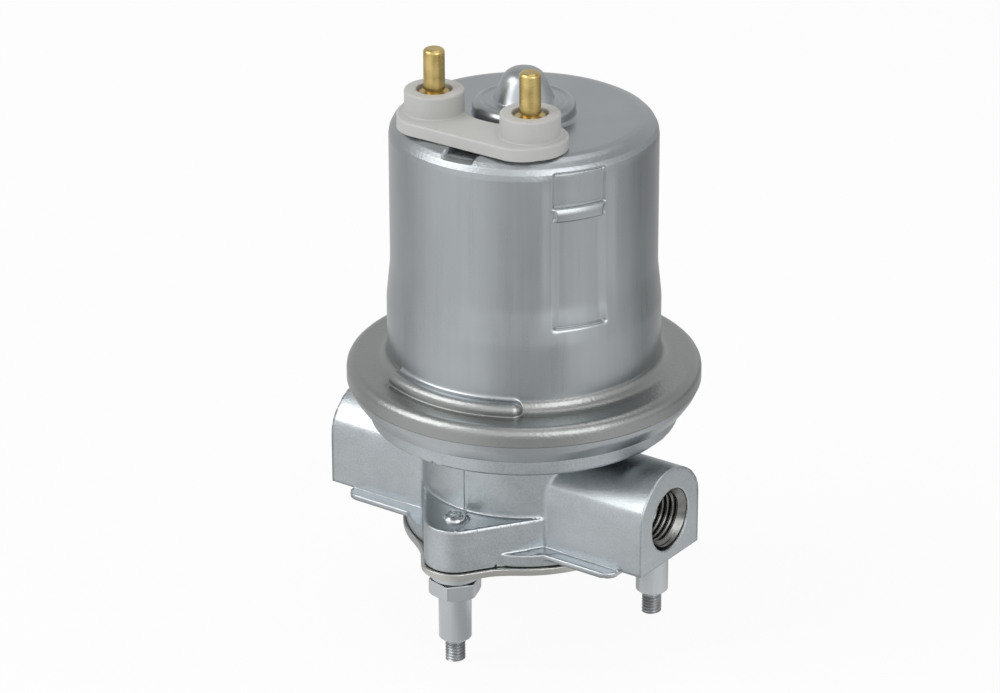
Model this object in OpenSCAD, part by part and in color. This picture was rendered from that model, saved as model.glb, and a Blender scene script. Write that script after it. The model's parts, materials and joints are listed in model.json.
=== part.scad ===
// Inline electric fuel pump: a stamped motor can on a die-cast pump body.
// Millimetres. Z is the motor axis, pointing up. The origin is the middle of the cover's
// underside. +X is the outlet port, -X the inlet port, and -Y the side with the terminals.

/* [Cover and gasket] */
// Thickness of the stamped bottom cover
cover_t = 2.0; // [1.6:0.1:2.6]
// How far the cover's round part stands out past the body's foot
cover_rim = 0.8; // [0.5:0.1:1.2]
// How far the cover stands out past the body's lugs
cover_lip = 0.7; // [0.3:0.1:1.2]
// Thickness of the gasket above the cover
cover_gasket_t = 0.3; // [0.2:0.05:0.6]
// How far the gasket stays inside the cover's edge
gasket_inset = 1.1; // [0.6:0.1:1.6]

/* [Pump body] */
// Wall of the barrel round the rotor pocket
barrel_wall = 4.5; // [4:0.1:6]
// Height of the barrel, from the joint face to the ring under the flange
barrel_h = 27.7; // [27:0.1:32]
// How far the foot that carries the cover stands out past the barrel
foot_rim = 4; // [3:0.1:4.6]
// Height of that foot
foot_h = 2.9; // [2:0.1:4]
// How far the ring under the flange stays inside the seat's edge
ring_inset = 2.5; // [2:0.1:4]
// Height of that ring
ring_h = 5.7; // [4:0.1:7]
// Gap between the seat's edge and the inside of the can's rolled flange
seat_gap = 1.6; // [1:0.1:2.2]
// Height of that seat
seat_h = 7; // [5:0.1:8]
// Width of the bevel under the seat's edge
seat_bevel = 1.1; // [0.9:0.1:1.6]
// Height of the lugs, from the joint face
lug_h = 10.7; // [9:0.1:13]
// Radius of each lug's nose
lug_nose_r = 7.25; // [5.5:0.05:8]
// Wall of the bearing boss inside the motor
boss_wall = 3.9; // [3:0.1:4.4]
// Height of that boss above the seat
boss_h = 2.1; // [1.6:0.1:4]

/* [Ports] */
// Height of the port axis above the underside of the housings
port_h = 10.3; // [10:0.1:12]
// How far the ports' axis stands in front of the motor axis
port_offset = 4.9; // [4:0.1:6]
// Radius of the arch over each port
port_arch_r = 12.9; // [12.6:0.1:14]
// Half width of each port housing
port_half_w = 12.15; // [11.5:0.05:12.5]
// Reach of the outlet port from the motor axis
outlet_reach = 45.3; // [43:0.1:52]
// Reach of the inlet port from the motor axis
inlet_reach = 45.3; // [43:0.1:52]
// Radius inside the thread, at its crests
thread_r = 5.75; // [5.4:0.05:6]
// Pitch of the thread, eighteen turns to the inch
thread_pitch = 1.411; // [1.3:0.001:1.6]
// Turns of thread in each port
thread_turns = 9; // [7:1:10]
// Radius of the chamfer at the mouth
mouth_r = 7.7; // [7.3:0.1:8.2]
// Radius of the passage behind the thread
passage_r = 4.2; // [3.5:0.1:4.4]
// Thickness of the foot that runs along each port
port_foot_t = 1.3; // [1:0.1:2]
// How far that foot stands out past the port's side
port_foot_w = 3.3; // [2:0.1:4]
// How far that foot stops short of the outlet's end
outlet_foot_gap = 6.4; // [5:0.1:8]
// How far that foot stops short of the inlet's end
inlet_foot_gap = 6.4; // [5:0.1:8]

/* [Studs and screw] */
// How far outside the barrel the front stud stands
front_stud_reach = 4.8; // [4.4:0.1:8]
// Angle of the front stud round the motor axis
front_stud_angle = -89; // [-100:0.5:-80]
// How far outside the barrel the side stud and the screw stand
side_stud_reach = 6.7; // [6:0.1:8]
// Angle of the side stud round the motor axis
side_stud_angle = 35.5; // [30:0.5:42]
// Angle of the cover screw round the motor axis
cover_screw_angle = 145; // [138:0.5:152]
// Radius of the studs' threads
stud_r = 2.41; // [2.2:0.01:2.6]
// Radius of the round shoulder that takes a rubber mount
shoulder_r = 3.95; // [3.6:0.05:4.3]
// Length of that shoulder
shoulder_h = 12.1; // [10:0.1:14]
// Length of the threaded tip below the shoulder
tip_h = 6.3; // [5:0.1:10]
// Hexagon across its flats
hex_af = 11.11; // [10.5:0.01:11.5]
// Height of the hexagon
hex_h = 3.8; // [3:0.1:5]
// Turn of the hexagon from its corner-out place
hex_turn = 17.4; // [0:0.1:60]
// Radius of the washer face under the cover
collar_r = 5.9; // [5:0.1:6.6]
// Thickness of that washer face
collar_h = 2; // [1:0.1:2.6]
// Radius of the neck between washer face and hexagon
neck_r = 4.4; // [3.6:0.1:5]
// Height of that neck
neck_h = 0.4; // [0.2:0.05:1]
// How far the stud's riveted end stands above its lug
stud_end_h = 0.9; // [0.5:0.1:1.2]
// Radius of the cover screw's head
screw_head_r = 4.2; // [3.8:0.1:4.6]
// Height of the cover screw's head
screw_head_h = 3; // [2.4:0.1:4]

/* [Motor can] */
// Width of the can's flat top, from the step in its middle to its side
top_land = 19.65; // [18:0.05:22]
// Thickness of the can's steel
can_wall = 1.2; // [1:0.05:1.3]
// Radius of the edge round the can's top
can_edge_r = 4.6; // [4:0.1:6]
// How far the skirt at the foot of the can stands out
skirt_step = 0.65; // [0.4:0.05:0.9]
// Height of the skirt's step above the seat gasket
skirt_step_h = 21.2; // [18:0.1:25]
// Width of the flange, from the skirt to its rolled edge
flange_w = 9.9; // [9.4:0.1:12]
// Radius of the hollow between the skirt and the flange
flange_fillet_r = 2.8; // [2:0.1:4]
// Radius of the flange's outer edge
flange_edge_r = 2.3; // [1.8:0.1:3]
// How far the flange's rolled edge comes down past the seat gasket
rolled_edge_h = 3.5; // [2:0.1:4.5]
// Height of the step in the middle of the can's top
step_h = 3.8; // [3.4:0.1:4.4]
// Radius of the dome at its foot
dome_r = 7.2; // [7:0.1:7.6]
// Height of the dome above the step
dome_h = 7.9; // [7:0.1:9]
// Radius at which the dome's sides meet its crown
dome_crown_r = 4.3; // [3:0.1:5]

/* [Can details] */
// Angle of the pressed panel's middle round the motor axis
panel_angle = -30.5; // [-33:0.5:-28]
// Width of the pressed panel
panel_w = 12.2; // [10:0.1:13]
// Depth of the pressed panel
panel_depth = 0.8; // [0.5:0.05:0.9]
// Distance from the can's flat top down to the pressed panel
panel_drop = 3; // [2.8:0.1:5]
// Length of the lower pressed panel
lower_panel_h = 26.6; // [22:0.1:28]
// Length of the upper pressed panel
upper_panel_h = 8.2; // [6:0.1:9]
// Height of the ridge between the two panels
panel_ridge_h = 3.2; // [2:0.1:5]
// Angle at which the rib on the flange starts
rib_start = -117; // [-125:1:-110]
// Angle at which the rib on the flange ends
rib_end = -58; // [-65:1:-50]
// Radius of the rib's own cross-section
rib_section_r = 1.9; // [1.5:0.1:2]
// Distance from the skirt to the middle of the rib
rib_path_w = 1.7; // [1.4:0.1:2.2]
// Height of the rib's middle above the flange
rib_lift = 1.1; // [0.4:0.1:1.4]
// Width of the flat pressed in the can's upper edge
notch_w = 7.6; // [6:0.1:9]
// Place of that flat along X
notch_x = 4; // [3:0.1:5]
// Depth of that flat
notch_d = 0.5; // [0.3:0.05:0.7]

/* [Clamp ring and seat gasket] */
// Thickness of the clamp ring
clamp_t = 1.1; // [0.9:0.05:1.3]
// Thickness of the gasket between the seat and the can
seat_gasket_t = 0.6; // [0.4:0.1:1]
// Width of that gasket
seat_gasket_w = 2.2; // [1.6:0.1:2.2]

/* [Terminals] */
// Distance between the two terminal posts
post_pitch = 26.96; // [26:0.02:28]
// Distance from the step in the can's top to the middle of each post
post_land = 9.41; // [9.2:0.01:11]
// Radius of each post
post_r = 2.5; // [2.3:0.05:2.7]
// Height of each post above its boss
post_h = 9.8; // [8:0.1:14]
// Thickness of the insulator's plate
insulator_t = 3.1; // [2.6:0.1:3.6]
// Radius of the plate round each post
insulator_lobe_r = 8.8; // [8.4:0.1:9.2]
// Distance from the can's side to the plate's front edge
insulator_setback = 4.65; // [4:0.05:6]
// Gap between the can's step and the hollow in the plate's back
insulator_gap = 3.1; // [2.6:0.1:4]
// Radius of the boss round each post
post_boss_r = 7; // [6.6:0.1:7.4]
// Height of that boss above the plate
post_boss_h = 5.4; // [4.5:0.1:6.5]
// Radius of the well in the top of each boss
well_r = 4.2; // [4:0.1:4.6]
// Depth of that well
well_d = 1.5; // [1:0.1:2.5]
// Radius of the brass collar in each well
post_collar_r = 3.5; // [3.2:0.1:3.8]
// Height of that collar
post_collar_h = 0.8; // [0.5:0.1:1]
// Radius of the insulator's spigot through the can
spigot_r = 4; // [3.8:0.1:4.2]
// Thickness of the inner insulator under the can's top
inner_insulator_t = 1.4; // [1.2:0.1:1.8]
// Thickness of the flange that holds each post from inside
post_flange_t = 0.8; // [0.6:0.1:1.2]
// Width of that flange
post_flange_w = 2; // [1.6:0.1:2.4]

/* [Motor] */
// Radius of the shaft
shaft_r = 3.175; // [3:0.005:3.25]
// Length of the armature's stack of laminations
core_h = 26; // [22:0.5:27]
// Gap between armature and magnets
air_gap = 0.6; // [0.4:0.05:0.9]
// Radial thickness of the magnets
magnet_t = 6.4; // [5.5:0.1:7]
// Height of the magnets
magnet_h = 34; // [30:0.5:36]
// Angle that each magnet covers
magnet_angle = 116; // [108:1:118]
// Number of slots in the armature
slot_count = 10; // [8:1:12]
// Width of each slot
slot_w = 4; // [3:0.1:4.4]
// Depth of each slot
slot_d = 10; // [8:0.1:11]
// Height of the end windings
end_winding_h = 5; // [4:0.1:5.5]
// Radius of the face commutator
commutator_r = 14; // [13:0.1:15]
// Thickness of the commutator's copper
bar_t = 2; // [1.6:0.1:2.4]
// Thickness of the commutator's moulded hub
hub_t = 2.2; // [1.8:0.1:2.6]
// Gap between neighbouring copper bars
bar_gap = 0.6; // [0.4:0.05:0.8]

/* [Brush gear] */
// Distance from the motor axis to each brush
brush_x = 9.5; // [9.2:0.1:9.8]
// Radial size of each brush
brush_w = 5; // [4.5:0.1:5.4]
// Tangential size of each brush
brush_d = 7; // [6:0.1:8]
// Length of each brush
brush_h = 7; // [6:0.1:7.5]
// Wall of the guide round each brush
guide_wall = 1.3; // [1:0.1:1.5]
// Thickness of the carrier plate
carrier_t = 2.5; // [2:0.1:3]
// Outside radius of the brush springs
brush_spring_r = 2.2; // [2:0.05:2.2]
// Length of the brush springs at rest
brush_spring_h = 6.1; // [5:0.1:8]
// Wire diameter of the brush springs
brush_wire = 0.5; // [0.4:0.05:0.6]
// Thickness of the brass straps from post to brush spring
strap_t = 0.8; // [0.6:0.1:1]

/* [Bearings and seal] */
// Wall of both sleeve bearings
bearing_wall = 4.425; // [3.8:0.025:4.5]
// Width of the retainer round the upper bearing
retainer_w = 3.25; // [2.8:0.05:4]
// Length of the lower sleeve bearing
lower_bearing_h = 10; // [8:0.1:11]
// Length of the upper sleeve bearing
upper_bearing_h = 6.2; // [5.6:0.1:6.4]
// Thickness of the thrust washer
thrust_t = 1; // [0.8:0.1:1.2]
// Depth of the lower bearing below its boss's top
bearing_sink = 0.4; // [0.3:0.1:0.8]
// Gap between the thrust washer and the windings
winding_gap = 2.4; // [2:0.1:4]
// Outside radius of the shaft seal
seal_r = 8; // [7:0.1:8.5]
// Height of the shaft seal
seal_h = 6; // [5:0.1:6.4]

/* [Rotor set] */
// Lobes on the inner rotor
inner_lobes = 6; // [5:1:7]
// Distance between the axes of the two rotors
eccentricity = 1.3; // [1:0.05:1.3]
// Radius of the circle that the outer rotor's lobes stand on
lobe_circle_r = 11.8; // [11.6:0.05:12]
// Radius of those lobes
lobe_r = 2.8; // [2.4:0.05:3]
// Thickness of both rotors
rotor_h = 10.5; // [9:0.1:10.7]
// Metal of the outer rotor behind its lobes
rotor_rim = 0.6; // [0.4:0.1:1.2]
// Gap between the two rotors' flanks
flank_gap = 0.08; // [0.05:0.01:0.15]
// Wall of the ring round the outer rotor
rotor_ring_wall = 4.8; // [4.4:0.1:6]
// Thickness of the lower port plate
lower_plate_t = 3.5; // [3:0.1:4]
// Thickness of the upper port plate
upper_plate_t = 4; // [3.5:0.1:4.2]
// Depth of the flow channels beside the rotor ring
channel_d = 2.4; // [1.5:0.1:2.6]
// Width of the flow channels beside the rotor ring
channel_w = 9; // [7:0.1:10]
// Wire diameter of the sealing ring round the lower plate
o_ring_d = 1.8; // [1.4:0.1:2]

/* [Relief valve] */
// Angle of the relief valve round the motor axis
relief_angle = 60; // [50:1:70]
// Radius of the sliding poppet
poppet_r = 2.9; // [2.6:0.05:3]
// Length of the poppet
poppet_h = 5; // [4:0.1:6]
// Travel of the poppet
poppet_travel = 2; // [1:0.1:2.5]
// Wire diameter of the relief spring
relief_wire = 0.6; // [0.5:0.05:0.7]
// Length of the relief spring at rest
relief_spring_h = 7.5; // [6.5:0.1:8]
// Length of the screwed plug over the spring
plug_h = 3.4; // [3:0.1:4]
// Radius of that plug
plug_r = 3.6; // [3.4:0.1:3.8]

/* [Clearances] */
// Radial clearance of a turning or sliding fit
running = 0.05; // [0.03:0.01:0.08]
// End clearance of a turning part
end_play = 0.15; // [0.1:0.05:0.3]
// Clearance round a part that only passes through
clearance = 0.3; // [0.2:0.05:0.4]

/* [Hidden] */
$fn = 72;
tiny = 0.01;
bearing_r = shaft_r + bearing_wall;
step_r = bearing_r + retainer_w + running + can_wall;
can_r = step_r + top_land;
can_bore_r = can_r - can_wall;
skirt_r = can_r + skirt_step;
flange_r = skirt_r + flange_w;
seat_r = flange_r - can_wall - seat_gap;
ring_r = seat_r - ring_inset;
boss_r = bearing_r + boss_wall;
outer_rotor_r = lobe_circle_r + lobe_r + rotor_rim;
pocket_r = outer_rotor_r + rotor_ring_wall;
barrel_r = pocket_r + barrel_wall;
foot_r = barrel_r + foot_rim;
cover_r = foot_r + cover_rim;
front_stud_r = barrel_r + front_stud_reach;
side_stud_r = barrel_r + side_stud_reach;

thread_l = thread_pitch * (thread_turns + 1.5);
joint_z = cover_t + cover_gasket_t;
port_base_z = joint_z + foot_h;
port_z = port_base_z + port_h;
lug_z = joint_z + lug_h;
ring_z = joint_z + barrel_h;
seat_z = ring_z + ring_h;
body_top = seat_z + seat_h;
can_z = body_top + seat_gasket_t;
boss_top = body_top + boss_h;

// Motor, stacked from the bearing boss up to the can's top
lower_bearing_z = boss_top - lower_bearing_h - bearing_sink;
thrust_z = boss_top - bearing_sink + end_play;
winding_z = thrust_z + thrust_t + winding_gap;
core_z = winding_z + end_winding_h;
hub_z = core_z + core_h + end_winding_h + clearance;
bar_z = hub_z + hub_t;
brush_z = bar_z + bar_t + running;
brush_spring_z = brush_z + brush_h;
strap_z = brush_spring_z + brush_spring_h;
inner_insulator_z = strap_z + strap_t + post_flange_t;
can_ceiling = inner_insulator_z + inner_insulator_t;
can_top = can_ceiling + can_wall;
step_top = can_top + step_h;
dome_top = step_top + dome_h;

// The stamped sheet's profile turns at these corners: radius, height, corner radius.
flange_z = can_z + can_wall;
rolled_edge_z = can_z - rolled_edge_h;
clamp_lip_z = seat_z - running - clamp_t;
clamp_foot_r = seat_r - seat_bevel + 0.75 * clamp_t;
can_path = [
    [0, dome_top, 0],
    [dome_crown_r, dome_top, 4.4],
    [dome_r, step_top, 0.8],
    [step_r, step_top, 1.9],
    [step_r, can_top, 1.3],
    [can_r, can_top, can_edge_r],
    [can_r, can_z + skirt_step_h + 1.6, 6],
    [skirt_r, can_z + skirt_step_h - 1.6, 6],
    [skirt_r, flange_z, flange_fillet_r],
    [flange_r, flange_z, flange_edge_r],
    [flange_r, rolled_edge_z, 0]
];
clamp_path = [
    [flange_r - 0.45, rolled_edge_z - tiny, 0],
    [flange_r - 0.45, rolled_edge_z - 1.4, 4],
    [clamp_foot_r, clamp_lip_z, 1.2],
    [ring_r + clearance, clamp_lip_z, 0]
];

// Terminals
post_x = post_pitch / 2;
post_ring_r = step_r + post_land;
post_y = sqrt(post_ring_r * post_ring_r - post_x * post_x);
insulator_front = can_r - insulator_setback;
insulator_back_r = step_r + insulator_gap;
insulator_z = can_top + tiny;
plate_top = insulator_z + insulator_t;
boss_top_z = plate_top + post_boss_h;
well_z = boss_top_z - well_d;
post_top = boss_top_z + post_h;
post_foot_z = boss_top_z + 0.1;
shank_r = post_r - 0.4;

core_r = can_bore_r - running - magnet_t - air_gap;
magnet_z = core_z + core_h / 2 - magnet_h / 2;
magnet_outer_r = can_bore_r - running;
panel_inner_r = can_r - panel_depth - can_wall;
guide_top = strap_z;
carrier_z = brush_z + brush_h + 0.6;
guide_foot = brush_z + 1.2;
upper_bearing_z = step_top - can_wall - upper_bearing_h - end_play;
thrust_button_z = step_top + 2.9;
shaft_top = thrust_button_z - end_play;

// Rotor set, worked out from the joint face upwards
plate_z = joint_z + lower_plate_t;
rotor_z = plate_z + 0.03;
ring_top_z = plate_z + rotor_h + 0.06;
upper_plate_z = ring_top_z;
pocket_top = upper_plate_z + upper_plate_t;
shaft_bottom = plate_z + 0.4;
outer_lobes = inner_lobes + 1;
outer_bore_r = lobe_circle_r + 2 * eccentricity - lobe_r + 0.12;
kidney_out = lobe_circle_r - 0.4;
kidney_in = kidney_out - 4.6;
kidney_angle = 104;
relief_z = pocket_top + 1.6;
poppet_z = relief_z;
relief_spring_z = poppet_z + poppet_h;
plug_z = relief_spring_z + relief_spring_h;
relief_x = boss_r + plug_r + 0.2;
relief_c = [relief_x * cos(relief_angle), relief_x * sin(relief_angle)];
drive_pin_r = 1;
drive_pin_z = rotor_z + rotor_h - 2.2;
return_r = 1.6;
return_x = (kidney_out + pocket_r) / 2;
rib_path_r = skirt_r + rib_path_w;

steel = [0.62, 0.63, 0.64];
zinc = [0.66, 0.69, 0.72];
plated = [0.72, 0.74, 0.77];
brass = [0.78, 0.66, 0.30];
copper = [0.75, 0.43, 0.25];
nylon = [0.78, 0.78, 0.76];
ferrite = [0.16, 0.16, 0.17];
phenolic = [0.35, 0.20, 0.12];
rubber = [0.08, 0.08, 0.09];
bronze = [0.62, 0.46, 0.30];
graphite = [0.22, 0.22, 0.23];

// Profile helpers

function unit(v) = v / norm(v);
function left_of(v) = [-v[1], v[0]];
function cross2(a, b) = a[0] * b[1] - a[1] * b[0];
function flat(p) = [p[0], p[1]];

// Where the line through a along u meets the line through b along v
function meet(a, u, b, v) = a + u * cross2(b - a, v) / cross2(u, v);

// A path moved sideways by t, its corners kept sharp. Positive t is to the right of travel.
function shifted(path, t) = [
    for (i = [0 : len(path) - 1])
        let (
            here = flat(path[i]),
            before = i > 0 ? unit(here - flat(path[i - 1])) : undef,
            after = i < len(path) - 1 ? unit(flat(path[i + 1]) - here) : undef,
            u = before == undef ? after : before,
            v = after == undef ? before : after,
            a = here - left_of(u) * t,
            b = here - left_of(v) * t,
            p = norm(a - b) < 0.0001 ? a : meet(a, u, b, v),
            turn = cross2(u, v)
        )
        [p[0], p[1], path[i][2] == 0 ? 0 : max(0.15, path[i][2] + (turn > 0 ? t : -t))]
];

// The points of one rounded corner, n steps along its arc
function corner(p0, p1, p2, r, n) =
    let (
        u = unit(p0 - p1),
        v = unit(p2 - p1),
        half = acos(u * v) / 2,
        reach = r / tan(half),
        start = p1 + u * reach,
        middle = p1 + unit(u + v) * r / sin(half),
        from = start - middle,
        sweep = (180 - 2 * half) * (cross2(u, v) > 0 ? -1 : 1)
    )
    [for (i = [0 : n])
        let (a = sweep * i / n)
        middle + [from[0] * cos(a) - from[1] * sin(a), from[0] * sin(a) + from[1] * cos(a)]];

function rounded(path, n) = [
    for (i = [0 : len(path) - 1])
        if (path[i][2] == 0) flat(path[i])
        else each corner(flat(path[i - 1]), flat(path[i]), flat(path[i + 1]), path[i][2], n)
];

function backwards(points) = [for (i = [len(points) - 1 : -1 : 0]) points[i]];

// The section of a stamped sheet of thickness t, whose outer face follows the path
function sheet_section(path, t, n) =
    concat(rounded(shifted(path, t), n), backwards(rounded(path, n)));

function on_circle(r, angle) = [r * cos(angle), r * sin(angle)];

module ring(r_out, r_in, h) {
    difference() {
        cylinder(r = r_out, h = h);
        translate([0, 0, -tiny])
            cylinder(r = r_in, h = h + 2 * tiny);
    }
}

module arc_block(r_in, r_out, from, to, h) {
    rotate([0, 0, from])
        rotate_extrude(angle = to - from)
            translate([r_in, 0])
                square([r_out - r_in, h]);
}

// Radius and angle of each fastener's place
front_place = [front_stud_r, front_stud_angle];
side_place = [side_stud_r, side_stud_angle];
screw_place = [side_stud_r, cover_screw_angle];
stud_places = [front_place, side_place];
all_places = [front_place, side_place, screw_place];

module at_places(places) {
    for (p = places)
        rotate([0, 0, p[1]])
            translate([p[0], 0, 0])
                children();
}

// Outline of a lug: a nose round a fastener, joined to a round part by its two tangents
module lug_outline(round_r, nose_r, place_r) {
    lean = acos((round_r - nose_r) / place_r);
    root = on_circle(round_r, lean);
    tip = on_circle(nose_r, lean) + [place_r, 0];
    polygon([[0, 0], [root[0], -root[1]], [tip[0], -tip[1]], tip, root]);
    translate([place_r, 0])
        circle(r = nose_r);
}

module cover_outline(inset) {
    union() {
        circle(r = cover_r - inset);
        for (p = all_places)
            rotate([0, 0, p[1]])
                lug_outline(barrel_r + cover_lip - inset, lug_nose_r + cover_lip - inset, p[0]);
    }
}

// Cover, gasket and fasteners

module bottom_cover() {
    color(plated)
        difference() {
            linear_extrude(cover_t)
                cover_outline(0);
            at_places(all_places)
                translate([0, 0, -tiny])
                    cylinder(r = stud_r, h = cover_t + 2 * tiny);
        }
}

module cover_gasket() {
    color(rubber)
        translate([0, 0, cover_t])
            difference() {
                linear_extrude(cover_gasket_t)
                    cover_outline(gasket_inset);
                translate([0, 0, -tiny])
                    cylinder(r = pocket_r + clearance, h = cover_gasket_t + 2 * tiny);
                at_places(all_places)
                    translate([0, 0, -tiny])
                        cylinder(r = stud_r + clearance, h = cover_gasket_t + 2 * tiny);
            }
}

module stud() {
    chamfer = 0.7;
    hex_z = -collar_h - neck_h - hex_h;
    shoulder_z = hex_z - shoulder_h;
    color(plated) {
        translate([0, 0, -collar_h])
            cylinder(r = stud_r, h = lug_z + stud_end_h - 0.6 + collar_h);
        translate([0, 0, lug_z + stud_end_h - 0.6])
            cylinder(r1 = stud_r, r2 = stud_r - 0.6, h = 0.6);
        translate([0, 0, -collar_h])
            cylinder(r = collar_r, h = collar_h);
        translate([0, 0, -collar_h - neck_h])
            cylinder(r = neck_r, h = neck_h);
        intersection() {
            translate([0, 0, hex_z])
                rotate([0, 0, hex_turn])
                    linear_extrude(hex_h)
                        circle(r = hex_af / sqrt(3), $fn = 6);
            translate([0, 0, hex_z])
                cylinder(r1 = hex_af / sqrt(3) + hex_h - 0.5, r2 = hex_af / sqrt(3) - 0.5, h = hex_h);
        }
        translate([0, 0, shoulder_z + chamfer])
            cylinder(r = shoulder_r, h = shoulder_h - chamfer);
        translate([0, 0, shoulder_z])
            cylinder(r1 = shoulder_r - chamfer, r2 = shoulder_r, h = chamfer);
        translate([0, 0, shoulder_z - tip_h + chamfer])
            cylinder(r = stud_r, h = tip_h - chamfer);
        translate([0, 0, shoulder_z - tip_h])
            cylinder(r1 = stud_r - chamfer, r2 = stud_r, h = chamfer);
    }
}

module mounting_stud_front() {
    at_places([front_place])
        stud();
}

module mounting_stud_right() {
    at_places([side_place])
        stud();
}

module cover_screw() {
    socket_af = 3.2;
    color(plated)
        at_places([screw_place])
            difference() {
                union() {
                    translate([0, 0, -screw_head_h])
                        cylinder(r = screw_head_r, h = screw_head_h);
                    cylinder(r = stud_r, h = lug_z - 1);
                }
                translate([0, 0, -screw_head_h - tiny])
                    linear_extrude(screw_head_h * 0.6)
                        circle(r = socket_af / sqrt(3), $fn = 6);
            }
}

// Pump body

module port_outline() {
    translate([-port_half_w, 0])
        square([2 * port_half_w, port_h]);
    intersection() {
        translate([0, port_h])
            circle(r = port_arch_r);
        translate([-port_half_w, 0])
            square([2 * port_half_w, port_h + port_arch_r + 1]);
    }
}

// A port housing from the motor's middle out to its reach along +X, its axis at y = side
module port_housing(reach, side) {
    translate([0, side, port_base_z])
        rotate([90, 0, 90])
            linear_extrude(reach)
                port_outline();
}

// The thin foot under a port, wider than the housing, with rounded ends
module port_foot(reach, side, gap) {
    end_x = reach - gap - port_foot_w;
    half = port_half_w + port_foot_w;
    translate([0, side, port_base_z - port_foot_t])
        linear_extrude(port_foot_t) {
            translate([0, -half])
                square([end_x, 2 * half]);
            for (s = [-1, 1])
                translate([end_x, s * port_half_w])
                    circle(r = port_foot_w);
            translate([end_x, -port_half_w])
                square([port_foot_w, 2 * port_half_w]);
        }
}

// Threaded bore, mouth chamfer and passage, cut into a port from its face at x = reach.
// The bore has the radius of the thread's crests.
module port_bore(reach, side) {
    translate([reach, side, port_z])
        rotate([0, -90, 0]) {
            translate([0, 0, -tiny])
                cylinder(r = thread_r, h = thread_l + tiny);
            translate([0, 0, -tiny])
                cylinder(r1 = mouth_r, r2 = thread_r, h = mouth_r - thread_r);
            cylinder(r = passage_r, h = reach - pocket_r + channel_d);
        }
}

module body_solid() {
    translate([0, 0, joint_z]) {
        cylinder(r = barrel_r, h = barrel_h);
        cylinder(r = foot_r, h = foot_h);
        linear_extrude(lug_h)
            for (p = all_places)
                rotate([0, 0, p[1]])
                    lug_outline(barrel_r, lug_nose_r, p[0]);
    }
    port_housing(outlet_reach, -port_offset);
    port_foot(outlet_reach, -port_offset, outlet_foot_gap);
    rotate([0, 0, 180]) {
        port_housing(inlet_reach, port_offset);
        port_foot(inlet_reach, port_offset, inlet_foot_gap);
    }
    translate([0, 0, ring_z])
        cylinder(r = ring_r, h = ring_h);
    translate([0, 0, seat_z])
        cylinder(r1 = seat_r - seat_bevel, r2 = seat_r, h = 1.6 * seat_bevel);
    translate([0, 0, seat_z + 1.6 * seat_bevel])
        cylinder(r = seat_r, h = seat_h - 1.6 * seat_bevel);
    translate([0, 0, body_top])
        cylinder(r = boss_r, h = boss_h);
}

module pump_body() {
    seal_z = pocket_top;
    color(zinc)
        difference() {
            body_solid();
            // Rotor pocket, seal pocket, shaft hole and bearing seat
            translate([0, 0, joint_z - tiny])
                cylinder(r = pocket_r, h = pocket_top - joint_z + tiny);
            translate([0, 0, seal_z - tiny])
                cylinder(r = seal_r, h = seal_h + tiny);
            translate([0, 0, joint_z])
                cylinder(r = shaft_r + clearance, h = boss_top - joint_z + 1);
            translate([0, 0, lower_bearing_z])
                cylinder(r = bearing_r, h = boss_top - lower_bearing_z + 1);
            port_bore(outlet_reach, -port_offset);
            rotate([0, 0, 180])
                port_bore(inlet_reach, port_offset);
            // Relief valve bore, with its seat hole below and its plug seat above
            translate([relief_c[0], relief_c[1], pocket_top - 1])
                cylinder(r = poppet_r - 1, h = 4);
            translate([relief_c[0], relief_c[1], relief_z])
                cylinder(r = poppet_r + running, h = plug_z - relief_z + tiny);
            translate([relief_c[0], relief_c[1], plug_z])
                cylinder(r = plug_r, h = body_top - plug_z + 1);
            // Return passage from the motor's chamber to the inlet side
            translate([-return_x, 0, pocket_top - 1])
                cylinder(r = return_r, h = body_top - pocket_top + 2);
            // Holes for the studs and the cover screw
            at_places(stud_places)
                translate([0, 0, joint_z - 1])
                    cylinder(r = stud_r, h = lug_h + 2);
            at_places([screw_place])
                translate([0, 0, joint_z - 1])
                    cylinder(r = stud_r, h = lug_h);
        }
}

// Motor can, clamp ring and seat gasket

notch_slope = 25;
notch_drop = can_edge_r - notch_d;
notch_y = -(can_r - can_edge_r) - notch_drop * sin(notch_slope);
notch_z = can_top - can_edge_r + notch_drop * cos(notch_slope);
panel_half_angle = asin(panel_w / 2 / can_r);
panel_top_z = can_top - panel_drop;
upper_panel_z = panel_top_z - upper_panel_h;
panel_ridge_z = upper_panel_z - panel_ridge_h;
panel_foot_z = panel_ridge_z - lower_panel_h;

module panel_block(r_in, r_out, z0, z1, spread) {
    translate([0, 0, z0])
        arc_block(r_in, r_out, panel_angle - panel_half_angle - spread,
            panel_angle + panel_half_angle + spread, z1 - z0);
}

module flange_rib() {
    rotate([0, 0, rib_start])
        rotate_extrude(angle = rib_end - rib_start)
            translate([rib_path_r, flange_z + rib_lift])
                circle(r = rib_section_r);
    rotate([0, 0, rib_end])
        translate([rib_path_r, 0, flange_z + rib_lift])
            sphere(r = rib_section_r - 0.05);
}

module motor_can() {
    spread = 2.5;
    color(steel)
        difference() {
            union() {
                rotate_extrude()
                    polygon(sheet_section(can_path, can_wall, 6));
                panel_block(panel_inner_r, can_r - 0.3, panel_foot_z - can_wall,
                    panel_top_z + 0.6, spread);
                flange_rib();
            }
            panel_block(can_r - panel_depth, can_r + 1, panel_foot_z, panel_ridge_z, 0);
            panel_block(can_r - panel_depth, can_r + 1, upper_panel_z, panel_top_z, 0);
            // The flat pressed in the upper edge, in front of the insulator
            translate([notch_x - notch_w / 2, notch_y, notch_z])
                rotate([notch_slope, 0, 0])
                    translate([0, -4, 0])
                        cube([notch_w, 8, 3]);
            for (s = [-1, 1])
                translate([s * post_x, -post_y, can_ceiling - 1])
                    cylinder(r = spigot_r, h = can_wall + 2);
        }
}

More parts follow.
